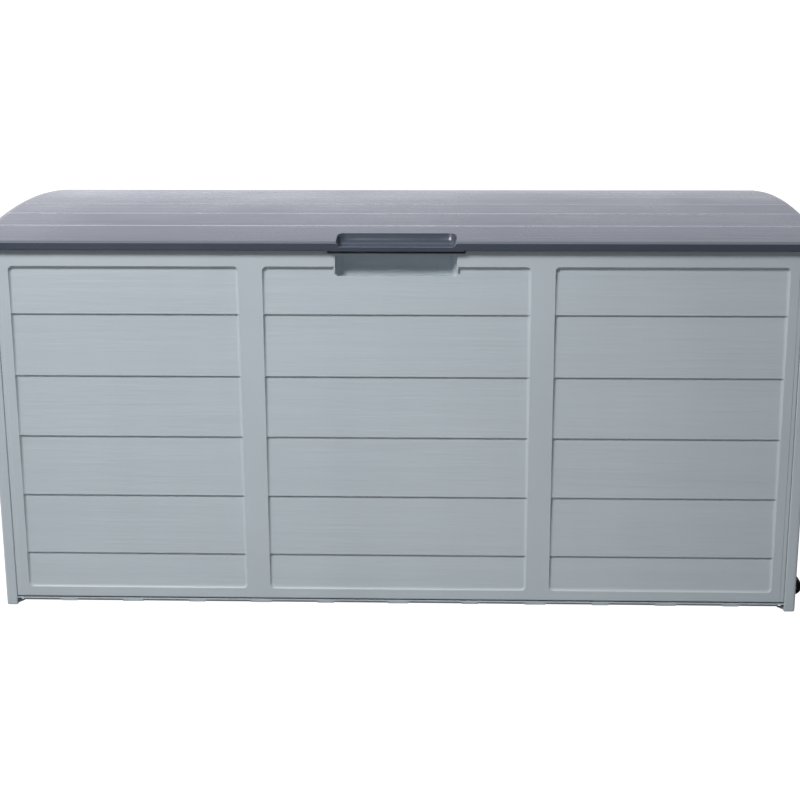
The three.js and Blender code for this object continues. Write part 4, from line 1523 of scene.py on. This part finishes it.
# ------------------------------------------------------------------ the box
@dataclass
class StorageBox:
    """The whole box: each sub-assembly in order, each piece fitted to its body."""

    frame: dict
    palette: Palette

    def __post_init__(self) -> None:
        """Notes which body each frame node belongs to."""
        bodies = self.frame["record"]["behaviour"]["bodies"]
        self.body_of = {node: body for body, nodes in bodies.items() for node in nodes}
        self.hardware = Hardware(self.palette)

    def fit(self, piece: bpy.types.Object, node: str) -> None:
        """Fits a piece in the place of a node: it rides on the node's body, and the node is hidden."""
        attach(piece, self.body_of[node])
        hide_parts(node)
        LOG.info("%s stands for %s on %s", piece.name, node, self.body_of[node])

    def walls(self) -> None:
        """The four walls, with the bosses that the floor's and the hinges' screws bite into."""
        feet = [(Rect(x - 5, x + 5, 14.0, 27.0), 15.0) for x in (-450, -150, 150, 450)]
        hinges = [(Rect(x - 28, x + 28, 486.5, 502.0), 11.0) for x in (-380, 0, 380)]
        front = LongWall("front_wall", "front_panel", False, Grip(81.5), feet)
        back = LongWall("back_wall", "back_panel", True, None, feet + hinges)
        wheels = tuple((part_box(n)[0].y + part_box(n)[1].y) / (2 * MM) for n in ("front_wheel", "rear_wheel"))
        left = EndWall("left_end_wall", "left_end_panel", True)
        right = EndWall("right_end_wall", "right_end_panel", False, wheels=wheels)
        for wall in (front, back, left, right):
            self.fit(wall.build(self.palette), wall.node)

    def floor_and_hinges(self) -> None:
        """The floor and the hinge halves, as eased copies of their nodes."""
        floor = eased_copy(self.frame["nodes"]["floor_panel"], "floor_moulding", 0.4, self.palette.frame)
        self.fit(floor, "floor_panel")
        for place in ("left", "middle", "right"):
            for part, slot, finish in (
                ("bracket", "body_plastic", self.palette.frame),
                ("leaf", "lid_plastic", self.palette.lid_rim),
            ):
                node = f"{place}_hinge_{part}"
                self.fit(eased_copy(self.frame["nodes"][node], f"{node}_eased", 0.3, finish), node)

    def fixings(self) -> None:
        """Screws, hinge pins, axles and clips."""
        right, back, up = Vector((1, 0, 0)), Vector((0, 1, 0)), Vector((0, 0, 1))
        wall_screw = Fixing(1.5, 3.0, 1.6, thread=0.25)
        small_screw = Fixing(1.5, 2.4, 1.6, thread=0.25)
        floor_screw = Fixing(1.5, 2.6, 1.6, thread=0.25)
        pin = Fixing(1.5, 2.4, 1.2, Drive.PLAIN)
        axle = Fixing(2.0, 3.0, 1.5, Drive.PLAIN, sides=32)
        plan: list[tuple[str, Vector, Fixing]] = []
        for place in ("left", "middle", "right"):
            plan.append((f"{place}_hinge_pin", -right, pin))
            plan += [(f"{place}_hinge_wall_screw_{i}", -back, wall_screw) for i in (1, 2)]
            plan += [(f"{place}_hinge_lid_screw_{i}", back, small_screw) for i in (1, 2)]
        for wall in ("front", "back"):
            for side, axis in (("left", -right), ("right", right)):
                plan += [(f"{wall}_{side}_corner_screw_{i}", axis, wall_screw) for i in (1, 2, 3)]
            plan += [(f"{wall}_floor_screw_{i}", up, floor_screw) for i in (1, 2, 3, 4)]
        plan += [(f"{place}_axle", back, axle) for place in ("front", "rear")]
        for node, axis, kind in plan:
            self.fit(self.hardware.fixing(node, axis, kind, self.palette.steel), node)

    def wheels(self) -> None:
        """The two wheels and the caps on their axles."""
        for place in ("front", "rear"):
            self.fit(Wheel(f"{place}_wheel").build(self.palette.wheel), f"{place}_wheel")
            self.fit(self.hardware.clip(f"{place}_axle_clip"), f"{place}_axle_clip")

    def build(self) -> None:
        """Builds every sub-assembly."""
        self.walls()
        self.floor_and_hinges()
        self.fit(Lid().build(self.palette), "lid")
        self.wheels()
        self.fixings()


# ------------------------------------------------------------------ studio
@dataclass
class Studio:
    """A white studio: pale floor, even surroundings, and a large soft light high on the left."""

    floor_half: float = 6.0
    floor_glow: float = 1.1
    floor_bounce: float = 0.3
    backdrop: float = 1.45
    right_share: float = 0.52
    room: float = 0.1
    fill_power: float = 0.5
    fill_place: tuple[float, float, float] = (-0.8, -3.2, 1.7)
    key_power: float = 22.0
    key_place: tuple[float, float, float] = (-1.2, -2.1, 2.8)
    key_aim: tuple[float, float, float] = (-0.17, -0.2, 0.3)
    key_size: float = 1.0
    key_spread: float = 80.0
    camera_place: tuple[float, float, float] = (0.072, -2.267, 0.877)
    camera_tilt: float = 75.13
    camera_turn: float = 1.88
    camera_roll: float = -0.21
    lens: float = 70.21
    rise: float = -0.0304
    sideways: float = -0.001

    def floor(self) -> None:
        """A wide pale floor that glows faintly where it is seen, and throws little light back up."""
        half = self.floor_half / MM
        corners = np.array([[-half, -half, 0], [half, -half, 0], [half, half, 0], [-half, half, 0]])
        material = bpy.data.materials.new("studio_floor")
        material.use_nodes = True
        bench = NodeBench(material.node_tree)
        shader = material.node_tree.nodes["Principled BSDF"]
        seen = bench.add("LightPath").outputs["Is Camera Ray"]
        paint = bench.blend(seen, (self.floor_bounce,) * 3 + (1,), (0, 0, 0, 1))
        glow = bench.add("Math", {0: seen, 1: self.floor_glow}, operation="MULTIPLY").outputs[0]
        material.node_tree.links.new(paint, shader.inputs["Base Color"])
        material.node_tree.links.new(glow, shader.inputs["Emission Strength"])
        shader.inputs["Emission Color"].default_value = (1, 1, 1, 1)
        shader.inputs["Roughness"].default_value = 0.9
        floor = Surface().add(corners, [np.array([[0, 1, 2, 3]])], [0]).object("studio_floor", [material])

    def world(self) -> None:
        """White surroundings: full white where the camera sees them, and as light a bright backdrop
        behind the box with a dim room in front, a little darker on the right. Each step follows one
        part of the direction."""
        world = bpy.data.worlds.new("studio")
        bpy.context.scene.world = world
        world.use_nodes = True
        bench = NodeBench(world.node_tree)
        direction = bench.add("TexCoord").outputs["Generated"]
        split = bench.add("SeparateXYZ", {"Vector": direction}).outputs
        back = bench.remap(split["Y"], -0.15, 0.35, self.room, self.backdrop)
        left = bench.remap(split["X"], -0.5, 0.5, 1.0, self.right_share)
        lit = bench.add("Math", {0: back, 1: left}, operation="MULTIPLY").outputs[0]
        seen = bench.add("LightPath").outputs["Is Camera Ray"]
        strength = bench.add("Mix", {0: seen, 2: lit, 3: 1.1}, data_type="FLOAT").outputs[0]
        background = world.node_tree.nodes["Background"]
        background.inputs["Color"].default_value = (0.97, 0.98, 1.05, 1)
        world.node_tree.links.new(strength, background.inputs["Strength"])

    def light(self, name: str, place: Sequence[float], power: float) -> None:
        """A round soft light aimed left of the middle of the front, so that the right end is darker.

        Args:
            name: The light's name.
            place: Where it hangs.
            power: Its power in watts.
        """
        lamp = bpy.data.lights.new(name, "AREA")
        lamp.shape = "DISK"
        lamp.size = self.key_size
        lamp.energy = power
        lamp.spread = math.radians(self.key_spread)
        hung = bpy.data.objects.new(name, lamp)
        aim = Vector(self.key_aim) - Vector(place)
        hung.matrix_world = Matrix.Translation(place) @ aim.to_track_quat("-Z", "Y").to_matrix().to_4x4()
        bpy.context.scene.collection.objects.link(hung)

    def camera(self) -> None:
        """The camera, a little above the lid and turned slightly to the left."""
        data = bpy.data.cameras.new("camera")
        data.lens = self.lens
        data.sensor_width = 36.0
        data.sensor_fit = "HORIZONTAL"
        data.shift_x = self.sideways
        data.shift_y = self.rise
        data.clip_end = 50.0
        camera = bpy.data.objects.new("camera", data)
        turns = ((self.camera_turn, "Z"), (self.camera_tilt, "X"), (self.camera_roll, "Z"))
        matrix = Matrix.Translation(self.camera_place)
        for degrees, axis in turns:
            matrix = matrix @ Matrix.Rotation(math.radians(degrees), 4, axis)
        camera.matrix_world = matrix
        bpy.context.scene.collection.objects.link(camera)
        bpy.context.scene.camera = camera

    def build(self) -> None:
        """Sets the stage and how it is developed."""
        self.floor()
        self.world()
        self.light("key", self.key_place, self.key_power)
        self.light("fill", self.fill_place, self.fill_power)
        self.camera()
        bpy.context.scene.view_settings.view_transform = "Standard"
        bpy.context.scene.view_settings.look = "None"


def main() -> None:
    """Loads the frame, and builds the studio and the box."""
    logging.basicConfig(level=logging.INFO, format="%(name)s: %(message)s")
    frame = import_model()
    Studio().build()
    StorageBox(frame, Palette.mixed()).build()
    bpy.context.view_layer.update()


if __name__ == "__main__":
    main()
